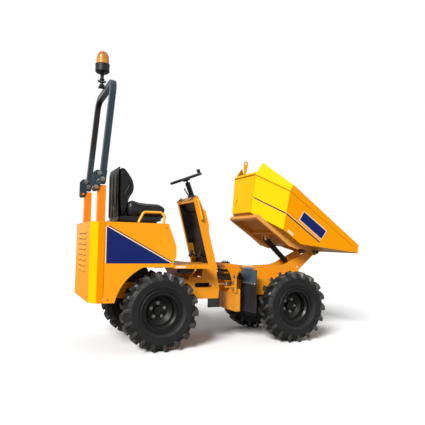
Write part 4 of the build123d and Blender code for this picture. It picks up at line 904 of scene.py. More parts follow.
# ---- wheels
@dataclass
class Wheels:
    """The four wheels: carcasses with ribbed sidewalls, curved lugs, wheel nuts and valves."""

    track: float = 820.0
    front_x: float = 1340.0
    radius: float = 338.0
    width: float = 180.0
    lug_height: float = 24.0
    lugs_a_side: int = 18
    lug_lean: float = 0.62
    lug_curve: float = 9.0
    nuts: int = 5
    nut_circle: float = 62.8
    nut_across: float = 19.0
    disc_y: float = 59.0
    valve_circle: float = 128.0
    valve_turn: float = 0.6
    front_turn: float = 97.0

    def build(self) -> None:
        """Builds every wheel's pieces."""
        lug = self.lug()
        for end, x in (("rear", 0), ("front", self.front_x)):
            for side in Side:
                mark = f"{end}_{side.label}"
                centre = (x, side * self.track / 2, self.radius)
                tyre = self.carcass(centre).piece(f"tyre_carcass_{mark}", SIDEWALL,
                                                  Mount(f"wheel_{mark}", "tyre_rubber"), smooth=40)
                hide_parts(f"tyre_{mark}")
                self.tread(lug, mark, centre)
                first = math.radians(self.front_turn) if end == "front" else 0.0
                self.nut_ring(mark, centre, side, first)

    def carcass(self, centre: Point) -> Solid:
        """The tyre without its lugs: bead, rim guard, ribbed sidewall, rounded shoulder and crown.

        Args:
            centre: The wheel's centre.

        Returns:
            The tyre.
        """
        half = self.width / 2
        crown = self.radius - self.lug_height
        wall = [(152.5, 63), (173, 65), (175, 74), (179, 79.5), (184, 79.5),
                (188, 76), (200, 82), (212, 86), (213.5, 87.6), (217, 87.6),
                (218.5, 87), (232, 89), (250, half), (262, 89), (264, 89.6),
                (268, 89.2), (270, 88), (284, 83), (298, 74), (307, 62),
                (crown - 1.5, 42), (crown, 0)]
        profile = wall + [(r, -y) for r, y in wall[-2::-1]]
        return Solid().lathe(profile, centre, steps=96)

    def lug(self) -> Mesh:
        """One lug of the left half, at the top of a wheel whose centre is the origin.

        It runs outwards and forwards in a curve, widens towards its foot and its outer end, and
        turns down over the shoulder.

        Returns:
            The lug's mesh.
        """
        # Place across the tyre, top radius, foot radius, half the top's thickness.
        sections = ((3, 334, 306, 8), (9, 338, 306, 10.5), (30, 338, 306, 11.5),
                    (50, 338, 304, 12.5), (68, 336.5, 296, 13.5), (80, 333, 288, 14),
                    (87.5, 324, 280, 13.5), (89.5, 306, 276, 12), (89, 284, 270, 9))
        middle = self.width / 4
        rings = []
        for y, top, foot, half in sections:
            off = y - middle
            lean = self.lug_lean * off + self.lug_curve * (off / middle) ** 2 - 4.0
            edge = [(half + spread, foot + (top - foot) * share)
                    for share, spread in ((0, 7), (0.55, 3), (0.9, 0.8), (1, -2))]
            turned = [((lean + w) / self.radius, r)
                      for w, r in [(-w, r) for w, r in edge] + edge[::-1]]
            rings.append([(r * math.sin(turn), y, r * math.cos(turn)) for turn, r in turned])
        return Solid().loft(rings).mesh("lug_shape", local=True)

    def tread(self, lug: Mesh, mark: str, centre: Point) -> None:
        """Repeats the lug round both halves of the tread, the right half mirrored, half a step on.

        Args:
            lug: The lug's mesh.
            mark: The wheel's place, as in its body's name.
            centre: The wheel's centre.
        """
        work = bmesh.new()
        work.from_mesh(lug)
        bmesh.ops.mirror(work, geom=work.verts[:] + work.edges[:] + work.faces[:], axis="Y",
                         merge_dist=-1.0)
        turned = [v for v in work.verts if v.co.y < 0]
        half_step = Matrix.Rotation(math.pi / self.lugs_a_side, 3, "Y")
        bmesh.ops.rotate(work, verts=turned, cent=(0, 0, 0), matrix=half_step)
        bmesh.ops.recalc_face_normals(work, faces=work.faces)
        pair = bpy.data.meshes.new("lug_pair")
        work.to_mesh(pair)
        work.free()
        mesh = ring_tree().run(pair, f"tyre_lugs_{mark}", TREAD, Count=self.lugs_a_side, First=0.0,
                             Centre=DATUM.at(*centre))
        finish_piece(mesh, f"tyre_lugs_{mark}", TREAD, Mount(f"wheel_{mark}", "tyre_rubber"),
                     smooth=28)

    def nut_ring(self, mark: str, centre: Point, side: Side, first: float) -> None:
        """The wheel nuts on their studs, the hub's ring and the valve, on the disc's outer face.

        Args:
            mark: The wheel's place, as in its body's name.
            centre: The wheel's centre.
            side: The machine's side that the disc faces.
            first: The first nut's turn from the top, in radians.
        """
        out = side
        face = out * (self.track / 2 - self.disc_y)
        hexagon = []
        for y, across in ((0, 1.55), (2.5, 1.55), (2.6, 1.1), (13, 1.1), (15.5, 0.9),
                          (15.6, 0.52), (24, 0.48)):
            r = self.nut_across * across / 2
            hexagon.append([(r * math.sin(k * math.tau / 12), out * y,
                             self.nut_circle + r * math.cos(k * math.tau / 12)) for k in range(12)])
        nut = Solid().loft(hexagon).mesh("wheel_nut", local=True)
        mesh = ring_tree().run(nut, f"wheel_nuts_{mark}", ZINC, Count=self.nuts, First=first,
                             Centre=DATUM.at(centre[0], face, centre[2]))
        mount = Mount(f"wheel_{mark}", "rim_black")
        finish_piece(mesh, f"wheel_nuts_{mark}", ZINC, mount)
        collar = [(38.3, 0.3), (46, 0.3), (46, 5), (42, 9), (38.3, 9)]
        Solid().lathe([(r, out * h) for r, h in collar], (centre[0], face, centre[2]),
                      steps=48).piece(f"hub_collar_{mark}", RIM, mount)
        foot = (centre[0] + self.valve_circle * math.sin(self.valve_turn), face - out * 12,
                centre[2] + self.valve_circle * math.cos(self.valve_turn))
        end = (foot[0], foot[1] + out * 34, foot[2] - 6)
        Solid().tube([foot, end], 4, 8).piece(f"valve_{mark}", PLASTIC, mount)


# ---- rear body
@dataclass
class RearBody:
    """The engine cover's films and screws, the painted shadows under the louvres, and what is under
    the floor.
    """

    half: float = 464.0
    film: float = 0.6
    cover_x: float = -608.5
    louvre_columns: tuple[float, float] = (-112, 108)
    louvre_half: float = 86.0
    louvre_z: float = 668.0
    louvre_pitch: float = 47.0
    louvres: int = 8
    arch_radius: float = 417.0
    hub_z: float = 338.0
    mount: Mount = Mount("chassis_rear", "body_yellow")

    def build(self) -> None:
        """Builds both sides' pieces, the screws and the painted shadows under the louvres."""
        for side in Side:
            self.flash(side)
            self.arch_lip(side)
            self.filter_block(side)
        back = (-1, 0, 0)
        places = [((self.cover_x, y, z), back) for y in (-360, 360) for z in (470, 1050)]
        Bolts(self.mount, 8.0, BODY).put("cover_screws", places, seed=3)
        # Dark strips under each louvre's lip: painted shadow of the recess, not a real seal.
        shadow_strips = Solid()
        for y in self.louvre_columns:
            for row in range(self.louvres):
                z = self.louvre_z + self.louvre_pitch * row
                shadow_strips.box((self.cover_x - 0.9, y - self.louvre_half, z - 6.5),
                          (self.cover_x + 0.3, y + self.louvre_half, z - 0.3))
        shadow_strips.piece("louvre_seals", UMBER, self.mount)
        sides = [((x, s * (self.half + 0.3), z), (0, s, 0))
                 for s in Side for x, z in ((-470, 460), (-470, 1062), (20, 1062))]
        Bolts(self.mount, 11.0, BODY).put("panel_screws", sides, seed=4)

    def flash(self, side: Side) -> None:
        """The navy triangle with its pale edge and the two lines along its slope.

        Args:
            side: The machine's side.
        """
        low = side * (self.half + 0.2)
        high = side * (self.half + 0.2 + self.film)
        top, rear, front = Vector((-487, 1054)), (-484, 750), Vector((80, 750))
        slope = (front - top).normalized()
        across = Vector((-slope.y, slope.x))
        Solid().side([top, rear, front], low, high).piece(f"flash_navy_{side.label}", NAVY,
                                                          self.mount)
        for name, finish, start, end in (("pale", PALE, 0, 9), ("umber", UMBER, 9.2, 17)):
            band = [point + across * reach for point, reach in ((top, start), (front, start),
                                                                (front, end), (top, end))]
            Solid().side(band, low, high).piece(f"flash_{name}_{side.label}", finish, self.mount)
        edge = [(-494, 1062), (-487.2, 1058), (-484.2, 750), (-491, 750)]
        Solid().side(edge, low, high).piece(f"flash_edge_{side.label}", PALE, self.mount)

    def arch_lip(self, side: Side) -> None:
        """The stiffener that levels the top of the wheel arch out to the floor plate.

        Args:
            side: The machine's side.
        """
        low, high = side.span(self.half - 6, self.half + 0.8)
        arc = [(x, self.hub_z + math.sqrt(self.arch_radius ** 2 - x * x))
               for x in (-172, -140, -100, -60, -30, 0)]
        shape = arc + [(96, 756), (98, 734), (98, 716), (0, 716), (-120, 715)]
        Solid().side(shape, low, high).piece(f"arch_lip_{side.label}", BODY, self.mount)

    def filter_block(self, side: Side) -> None:
        """The black filter block and pipe under the floor plate, behind the wheel arch.

        Args:
            side: The machine's side.
        """
        black = Mount("chassis_rear", "black_paint")
        low, high = side.span(345, 432)
        block = Solid().box((172, low, 664), (262, high, 708))
        block.box((262.2, low + 14, 672), (300, high - 14, 704))
        block.piece(f"underfloor_block_{side.label}", BLACK, black, bevel=3.0)
        y = side * 425.0
        pipe = softened([(300.4, y, 690), (330, y, 684), (372, y, 676), (420, side * 330, 676),
                         (451, side * 250, 676)], closed=False)
        Solid().tube(pipe, 9, 10).piece(f"underfloor_pipe_{side.label}", HOSE, black, smooth=50)
        Solid().tube([(300.4, y, 690), (318, y, 687)], 13, 6).piece(
            f"underfloor_union_{side.label}", ZINC, Mount("chassis_rear", "bare_steel"))


# ---- roll-over frame
@dataclass
class RollOver:
    """What is bolted to the folding hoop: hinge bolts, latch pins, and the beacon's details."""

    plate_y: tuple[float, float] = (320.8, 399.2)
    beacon_x: float = -486.9
    lens_foot: float = 2560.0
    lens_height: float = 127.0
    lens_radius: float = 61.0
    rings: int = 11
    leg_y: float = 399.0
    pin_at: Point = (-572, 1380)
    latch_at: Point = (-560, 1440)
    mount: Mount = Mount("hoop", "hoop_grey")

    def build(self) -> None:
        """Builds the bolts, the latch pins and the beacon."""
        spots = []
        for side in Side:
            for y, way in ((self.plate_y[1], side), (self.plate_y[0], -side)):
                for x, z in ((-522, 1450), (-548, 1498)):
                    spots.append(((x, side * y, z), (0, way, 0)))
            self.latch(side)
        Bolts(self.mount, 22.0, STEEL).put("hinge_bolts", spots, seed=5)
        self.lens()
        self.lamp()
        self.clamp()

    def latch(self, side: Side) -> None:
        """The hinge pin's washer and the spring latch pin with its pull ring, on one leg.

        Args:
            side: The leg's side.
        """
        out, face = side, side * self.leg_y
        washer = [(10.3, 0.2), (20, 0.2), (20, 6), (14, 12), (0, 12.5), (0, 9), (10.3, 9)]
        Solid().lathe([(r, out * h) for r, h in washer], (self.pin_at[0], face, self.pin_at[1]),
                      steps=24).piece(f"hinge_cap_{side.label}", STEEL,
                                      Mount("chassis_rear", "bare_steel"))
        x, z = self.latch_at
        pin = Solid().tube([(x, face + out * 0.5, z), (x, face + out * 17, z)], 7, 12)
        loop = [(x + 14 * math.sin(t), face + out * 14, z - 14.0 + 14 * math.cos(t))
                for t in (k * math.tau / 20 for k in range(20))]
        pin.tube(loop, 1.8, 6, closed=True)
        pin.piece(f"latch_pin_{side.label}", ZINC, self.mount)

    def outer_radius(self, share: float) -> float:
        """The lens's outer radius: straight, then a round shoulder, then a low crown.

        Args:
            share: The share of the lens's height.

        Returns:
            The radius.
        """
        if share < 0.55:
            return self.lens_radius - 4.0 * share / 0.55
        if share < 0.85:
            return self.lens_radius - 4.0 - 14.0 * ((share - 0.55) / 0.3) ** 1.6
        return self.lens_radius - 18.0 - 24.0 * ((share - 0.85) / 0.15) ** 1.5

    def lens(self) -> None:
        """The ringed dome: a moulded wall 4 mm thick with a closed top."""
        outer = []
        for k in range(self.rings * 4 + 1):
            share = k / (self.rings * 4)
            ridge = 0.9 if k % 4 in (1, 2) and share < 0.5 else 0.0
            outer.append((self.outer_radius(share) - 1.6 + ridge, share * self.lens_height))
        inner = [(max(r - 4, 0), min(h, self.lens_height - 5)) for r, h in outer[::-2]]
        profile = [(0, self.lens_height)] + outer[::-1]
        profile += inner[::-1] + [(0, self.lens_height - 5)]
        dome = Solid().lathe(profile, (self.beacon_x, 0, self.lens_foot), axis=Axis.Z, steps=56)
        piece = dome.piece("beacon_dome", LENS, Mount("hoop", "amber_lens"), smooth=60)
        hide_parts("beacon_lens")

    def lamp(self) -> None:
        """The turning reflector and the bulb inside the dome."""
        mount = Mount("hoop", "amber_lens")
        foot = (self.beacon_x, 0, self.lens_foot)
        bulb = [(0, 0.5), (16, 0.5), (16, 30), (12, 40), (13, 58), (8, 70), (0, 73)]
        Solid().lathe(bulb, foot, axis=Axis.Z, steps=24).piece("beacon_bulb", REFLECTOR, mount,
                                                               smooth=50)
        corners = ((34, 8), (34, 86), (31.96, 86), (31.96, 8))
        rings = [[(self.beacon_x + r * math.sin(turn), r * math.cos(turn), self.lens_foot + h)
                  for r, h in corners] for turn in (math.radians(200 + 17 * k) for k in range(9))]
        Solid().loft(rings).piece("beacon_reflector", REFLECTOR, mount, smooth=60)

    def clamp(self) -> None:
        """The base's rubber ring, and the wing nut on the stem."""
        mount = Mount("hoop", "black_plastic")
        ring = [(60, -5), (66, -5), (67, 0), (66, 4), (61.5, 4), (61.5, 0.2), (60, 0)]
        Solid().lathe(ring, (self.beacon_x, 0, self.lens_foot), axis=Axis.Z,
                      steps=56).piece("beacon_seal", HOSE, mount)
        nut = [(11.2, 0), (21, 0), (18, 18), (11.2, 18)]
        wing = Solid().lathe(nut, (self.beacon_x, 0, 2390), axis=Axis.Z, steps=20)
        ear = ((15, 2392), (34, 2394), (42, 2410), (30, 2414), (15, 2404))
        for sign in (-1, 1):
            wing.side([(self.beacon_x + sign * x, z) for x, z in ear], -4, 4)
        wing.piece("beacon_wing_nut", BLACK, mount, bevel=0.8)
        sleeve = [(11.2, 0), (24, 0), (24, 8), (15, 14), (16.5, 40), (24, 66), (11.2, 66)]
        Solid().lathe(sleeve, (self.beacon_x, 0, 2416), axis=Axis.Z,
                      steps=24).piece("beacon_sleeve", BLACK, mount, smooth=50)


# ---- seat
@dataclass
class Seat:
    """The seat's two pads, blown up as cloth, with their piping, bolsters, shells and slide."""

    foot: float = 1115.3
    half: float = 206.0
    edge: float = 42.0
    taper: float = 0.34
    dent: float = 13.0
    dent_half: float = 120.0
    reach: float = 14.0
    voxel: float = 8.0
    mount: Mount = Mount("chassis_rear", "seat_vinyl")
    back: tuple[Point, ...] = ((-292, 18), (-326, 18), (-332, 250), (-334, 440), (-324, 480),
                               (-290, 490), (-252, 436), (-218, 384), (-206, 322), (-216, 262),
                               (-252, 206), (-264, 110))
    cushion: tuple[Point, ...] = ((-262, 46), (-268, 150), (-232, 186), (-150, 156), (-20, 148),
                                  (88, 150), (116, 120), (84, 52), (20, 34), (-120, 34))

    def build(self) -> None:
        """Builds the pads and what holds them."""
        backrest = self.pad("backrest_pad", self.back, dip=Vector((1, 0, 0)), fill=0.7)
        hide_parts("seat_backrest")
        cushion = self.pad("cushion_pad", self.cushion, dip=Vector((0, 0, 1)), fill=0.7)
        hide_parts("seat_cushion")
        self.piping(backrest, "backrest", self.back)
        self.piping(cushion, "cushion", self.cushion)
        self.bolsters(backrest)
        self.shells()

    def pad(self, name: str, outline: Sequence[Point], dip: Vector, fill: float) -> Object:
        """One pad, lofted across the seat, hollowed in the middle and then blown up.

        Args:
            name: The piece's name.
            outline: Its outline in side view, above the slide plate.
            dip: The way its worn face looks.
            fill: How full it is, from 0 to 1; not used.

        Returns:
            The pad.
        """
        curve = softened(outline, closed=True)
        centre_x = sum(x for x, _ in curve) / len(curve)
        centre_z = sum(z for _, z in curve) / len(curve)
        rings = []
        for k in range(25):
            share = math.sin((k / 24 - 0.5) * math.pi)
            edge = max(abs(share) * self.half - (self.half - self.edge), 0) / self.edge
            inset = 1.0 - self.taper * (1.0 - math.sqrt(max(1.0 - edge * edge, 0)))
            hollow = self.dent * max(1.0 - (share * self.half / self.dent_half) ** 2, 0)
            ring = []
            for x, z in curve:
                out = Vector((x - centre_x, 0, z - centre_z)).normalized()
                dent = hollow * max(out.dot(dip), 0)
                ring.append((centre_x + (x - centre_x) * inset - dip.x * dent, share * self.half,
                             self.foot + centre_z + (z - centre_z) * inset - dip.z * dent))
            rings.append(ring)
        data = self.blow(Solid().loft(rings).mesh(name), name)
        piece = finish_piece(data, name, VINYL, self.mount, smooth=60)
        smooth = piece.modifiers.new("smooth_skin", "SUBSURF")
        smooth.levels = 1
        smooth.render_levels = 1
        return piece

    def blow(self, data: Mesh, name: str) -> Mesh:
        """Remeshes a pad and blows it up as cloth, with no point moved further than the reach.

        Args:
            data: The pad's mesh.
            name: The pad's name.

        Returns:
            The new mesh.
        """
        pad = bpy.data.objects.new(name + "_cloth", data)
        bpy.context.collection.objects.link(pad)
        remesh = pad.modifiers.new("even_mesh", "REMESH")
        remesh.mode = "VOXEL"
        remesh.voxel_size = self.voxel * MM
        view = bpy.context.evaluated_depsgraph_get()
        even = bpy.data.meshes.new_from_object(pad.evaluated_get(view))
        pad.modifiers.clear()
        pad.data = even
        rest = [v.co.copy() for v in even.vertices]
        cloth = pad.modifiers.new("skin", "CLOTH")
        for key, value in {"quality": 6, "mass": 0.3, "tension_stiffness": 12,
                           "compression_stiffness": 12, "bending_stiffness": 0.6,
                           "use_pressure": True, "uniform_pressure_force": 4.0}.items():
            setattr(cloth.settings, key, value)
        cloth.settings.effector_weights.gravity = 0.0
        for frame in range(1, 21):
            bpy.context.scene.frame_set(frame)
        view = bpy.context.evaluated_depsgraph_get()
        blown = pad.evaluated_get(view).data.vertices
        reach = self.reach * MM
        for vertex, start, now in zip(even.vertices, rest, [v.co.copy() for v in blown]):
            step = now - start
            if step.length > reach:
                step *= reach / step.length
            vertex.co = start + step
        pad.modifiers.clear()
        bpy.context.scene.frame_set(1)
        bpy.data.objects.remove(pad)
        return even

    def trace(self, pad: Object, line: Sequence[Point], y: float, lift: float) -> list[Vector]:
        """Lays a line on a pad's skin.

        Args:
            pad: The pad.
            line: The line's points (x, z), above the slide plate.
            y: The line's place across the seat.
            lift: The height above the skin.

        Returns:
            The points on the skin, in millimetres.
        """
        route = []
        for x, z in line:
            hit, place, normal, _ = pad.closest_point_on_mesh(DATUM.at(x, y, self.foot + z))
            if hit:
                route.append(DATUM.back(place + normal * lift * MM))
        return route

    def piping(self, pad: Object, name: str, outline: Sequence[Point]) -> None:
        """The welted seams: round each side of a pad, and along its hollow.

        Args:
            pad: The pad.
            name: The pad's name in the pieces' names.
            outline: The pad's outline.
        """
        curve = softened(outline, closed=True)
        for side in Side:
            for label, share, radius in (("edge", 0.93, 4.2), ("bolster", 0.6, 3)):
                route = self.trace(pad, curve, side * self.half * share, 0.8)
                Solid().tube(route, radius, 8, closed=True).piece(
                    f"{name}_{label}_piping_{side.label}", VINYL, self.mount, smooth=60)

    def bolsters(self, pad: Object) -> None:
        """The rolled side wings of the backrest, laid on the pad's flanks.

        Args:
            pad: The backrest's pad.
        """
        line = ((-296, 452), (-262, 412), (-244, 362), (-246, 312), (-268, 268), (-288, 232),
                (-290, 190))
        for side in Side:
            loop = softened(line + line[-2:0:-1], closed=True)
            route = self.trace(pad, loop, side * (self.half + 20), 1.5)
            Solid().tube(route[:len(route) // 2], 7, 10).piece(
                f"backrest_bolster_{side.label}", VINYL, self.mount, smooth=60)

    def shells(self) -> None:
        """The moulded back shell, the pan under the cushion, and the slide rails."""
        foot = self.foot
        back = [(-336, foot + 4), (-300, foot + 4), (-300, foot + 16), (-333, foot + 18),
                (-340, foot + 250), (-341, foot + 440), (-331, foot + 478),
                (-340, foot + 482), (-350, foot + 440), (-349, foot + 250)]
        Solid().side(back, -198, 198).piece("seat_back_shell", SHELL, self.mount, bevel=2.5)
        ribs = Solid()
        for y in (-150, 0, 150):
            ribs.side([(-346, foot + 30), (-356, foot + 40), (-357, foot + 420),
                       (-349, foot + 436)], y - 6, y + 6)
        ribs.piece("seat_back_ribs", SHELL, self.mount, bevel=1.5)
        pan = [(-328, foot + 1), (34, foot + 1), (66, foot + 34), (96, foot + 66),
               (66, foot + 58), (20, foot + 44), (-300, foot + 44), (-328, foot + 40)]
        Solid().side(pan, -200, 200).piece("seat_pan", PLASTIC, self.mount, bevel=4.0)
        rails = Solid()
        for y in (-130, 130):
            rails.box((-372, y - 14, 1115.4), (22, y + 14, 1121))
        rails.piece("seat_rails", ZINC, self.mount)
        lever = [(24, -120, 1130), (60, -120, 1128), (82, -128, 1132)]
        Solid().tube(lever, 5, 8).piece("seat_slide_lever", BLACK, self.mount)


# ---- console
@dataclass
class Console:
    """The console's black liner, dash, dial, pedals and blank labels."""

    half: float = 227.0
    rear_top: Point = (358, 1340)
    rear_foot: Point = (522, FLOOR_TOP)
    front: tuple[Point, ...] = ((604, FLOOR_TOP), (523, 1031), (521, 1107),
                                (484, 1233), (456, 1257), (428, 1318))
    dash_at: Point = (382, 0, 1354)
    dash_run: Point = (42, 40)
    dial_y: float = -112.0
    key_y: float = 118.0
    pedal_y: float = 118.0
    mount: Mount = Mount("chassis_rear", "black_plastic")

    def rear_x(self, z: float) -> float:
        """The side wall's rear edge at a height."""
        share = (self.rear_top[1] - z) / (self.rear_top[1] - self.rear_foot[1])
        return self.rear_top[0] + share * (self.rear_foot[0] - self.rear_top[0])

    def build(self) -> None:
        """Builds the console's fittings."""
        inner = [(x - (16.5 if z == FLOOR_TOP else 7), max(z, FLOOR_TOP + 1))
                 for x, z in self.front]
        sheet = inner + [(x - 3, z) for x, z in reversed(inner)]
        Solid().side(sheet, -self.half + 1, self.half - 1).piece("console_liner_front", LINER,
                                                                 self.mount)
        for side in Side:
            low, high = side.span(self.half - 2.2, self.half - 0.2)
            edge = [(self.rear_x(1322) + 12, 1322), (self.rear_x(930) + 12, 930),
                    (540, 930)] + [(x - 11, z) for x, z in self.front[1:]]
            Solid().side(edge, low, high).piece(f"console_liner_{side.label}", LINER, self.mount)
            # The kick plates' darker amber is boot dirt and painted shade.
            foot = [(self.rear_x(929) + 12, 929), (self.rear_x(737) + 12, 737),
                    (584, 737), (540, 929)]
            Solid().side(foot, low, high).piece(f"console_kick_plate_{side.label}", DIRT_AND_SHADE,
                                                self.mount)
        self.dash()
        self.pedals()
        self.labels()
        face = (1, 0, 0.27)
        spots = [((x, y, z), face) for y in (-200, 0, 200) for x, z in ((589.5, 790), (533.5, 995))]
        Bolts(REAR_FRAME, 12.0).put("console_bolts", spots, seed=7)

    def dash(self) -> None:
        """The sloping dash with its dial, key switch and rockers."""
        slope = math.atan2(self.dash_run[1], self.dash_run[0])
        along = Vector((math.cos(slope), 0, math.sin(slope)))
        out = Vector((-math.sin(slope), 0, math.cos(slope)))
        place = Matrix((along, (0, 1, 0), out)).transposed().to_4x4()
        place.translation = Vector(self.dash_at)
        # The dash takes the darker amber too, as painted shade.
        Solid().box((-24, -self.half + 2, -3), (26, self.half - 2, 0)).moved(place).piece(
            "dash_panel", DIRT_AND_SHADE, REAR_FRAME, bevel=0.8)
        fascia = [(368.6, 1316), (364.4, 1334), (367.2, 1335), (371.4, 1317)]
        brow = [(453, 1256), (400, 1373), (403, 1373.4), (456, 1257.4)]
        for name, sheet in (("dash_fascia", fascia), ("console_brow", brow)):
            Solid().side(sheet, -self.half + 0.5, self.half - 0.5).piece(name, BODY, REAR_FRAME)
        Solid().tube([(356, 229.5, 1337), (360, 229.5, 1344), (402, 229.5, 1383)], 4.5,
                     10).piece("dash_edging", PLASTIC, self.mount, smooth=50)
        socket = [(0, -1), (8, -1), (8, 3), (5.5, 4), (5, 1), (0, 1)]
        lean = Matrix.Rotation(math.radians(-77), 4, "Y")
        lean.translation = Vector((366.2, 168, 1326))
        Solid().lathe(socket, (0, 0, 0), axis=Axis.Z, steps=24).moved(lean).piece(
            "dash_socket", PLASTIC, self.mount)
        ring = [(0, 0.2), (20, 0.2), (20, 4.5), (17, 6.5), (16, 3), (0, 3)]
        disc = [(0, 3.1), (15.5, 3.1), (15.5, 3.9), (0, 3.9)]
        for name, finish, profile in (("bezel", PLASTIC, ring), ("face", PALE, disc)):
            Solid().lathe(profile, (0, self.dial_y, 0), axis=Axis.Z, steps=32).moved(place).piece(
                f"dial_{name}", finish, self.mount)
        Solid().box((-1, self.dial_y - 8, 3.9), (1, self.dial_y + 2, 5)).moved(place).piece(
            "dial_needle", UMBER, self.mount)
        key = [(0, 0.2), (11, 0.2), (11, 7), (8, 9), (0, 9)]
        switch = Solid().lathe(key, (0, self.key_y, 0), axis=Axis.Z, steps=20)
        switch.box((-1.5, self.key_y - 6, 9), (1.5, self.key_y + 6, 26))
        switch.moved(place).piece("key_switch", ZINC, self.mount)
        rockers = Solid()
        for y in (150, 172, 194):
            rockers.box((-10, y - 8, 0.2), (10, y + 8, 5))
        rockers.moved(place).piece("rocker_switches", PLASTIC, self.mount, bevel=1.5)

    def pedals(self) -> None:
        """The two foot pedals on their arms, at the foot of the console."""
        for side in Side:
            y = side * self.pedal_y
            pad = Solid().side([(462, 792), (486, 856), (494, 853), (470, 789)], y - 34, y + 34)
            for k in range(5):
                x, z = 464.0 + 4.9 * k, 800.0 + 13.0 * k
                pad.box((x - 5, y - 32, z - 2), (x, y + 32, z + 2))
            pad.piece(f"pedal_pad_{side.label}", HOSE, self.mount, bevel=1.0)
            Solid().tube([(484, y, 826), (520, y, 800), (572, y, 800)], 8, 10).piece(
                f"pedal_arm_{side.label}", BLACK, self.mount)

    def labels(self) -> None:
        """The blank pale labels on the liner and on the floor's edge."""
        for name, x, z, y, lean in (("upper", 487, 1192, -120, 17), ("lower", 556, 880, 110, 9)):
            shape = [(x, z), (x - lean, z + 52), (x - lean - 1.4, z + 52), (x - 1.4, z)]
            Solid().side(shape, y, y + 46).piece(f"blank_label_{name}", PALE, REAR_FRAME)
        for side in Side:
            low, high = side.span(460.2, 460.9)
            Solid().side([(120, 710), (212, 710), (212, 728), (120, 728)], low,
                         high).piece(f"blank_label_floor_{side.label}", PALE, REAR_FRAME)


# ---- floor plate
@dataclass
class TreadPlate:
    """The floor's raised studs, set alternately at right angles."""

    low: Point = (112, -446)
    high: Point = (438, 446)
    pitch: float = 30.0
    stud: float = 20.0
    slimness: float = 0.34
    rise: float = 3.2

    def build(self) -> None:
        """Builds the studs, in an odd number of rows, so that neighbours always differ."""
        studs = Repeat("studs_on_plate", {"Stud": "NodeSocketFloat"})
        tree, given = studs.tree, studs.given
        ball = add_node(tree, "GeometryNodeMeshUVSphere", {"Segments": 8, "Rings": 4,
                                                           "Radius": 0.5})
        wide = add_node(tree, "ShaderNodeMath", {0: given["Stud"], 1: self.slimness},
                        operation="MULTIPLY")
        scale = add_node(tree, "ShaderNodeCombineXYZ", {"X": given["Stud"], "Y": wide,
                                                        "Z": self.rise * MM})
        index = add_node(tree, "GeometryNodeInputIndex")
        odd = add_node(tree, "ShaderNodeMath", {0: index, 1: 2.0}, operation="MODULO")
        turn = add_node(tree, "ShaderNodeMath", {0: odd, 1: math.pi / 2, 2: math.pi / 4},
                        operation="MULTIPLY_ADD")
        euler = add_node(tree, "ShaderNodeCombineXYZ", {"Z": turn})
        rotation = add_node(tree, "FunctionNodeEulerToRotation", {0: euler})
        studs.close(add_node(tree, "GeometryNodeInstanceOnPoints",
                             {"Points": given["Geometry"], "Instance": ball.outputs["Mesh"],
                              "Rotation": rotation, "Scale": scale}))
        spots = []
        columns = int((self.high[0] - self.low[0]) / self.pitch) + 1
        rows = int((self.high[1] - self.low[1]) / self.pitch) + 1
        rows -= 1 - rows % 2
        for i in range(columns):
            for j in range(rows):
                spots.append(DATUM.at(self.low[0] + i * self.pitch, self.low[1] + j * self.pitch,
                                      FLOOR_TOP))
        data = bpy.data.meshes.new("stud_points")
        data.from_pydata(spots, [], [])
        mesh = studs.run(data, "floor_studs", CHASSIS, Stud=self.stud * MM)
        finish_piece(mesh, "floor_studs", CHASSIS, REAR_FRAME, smooth=60)


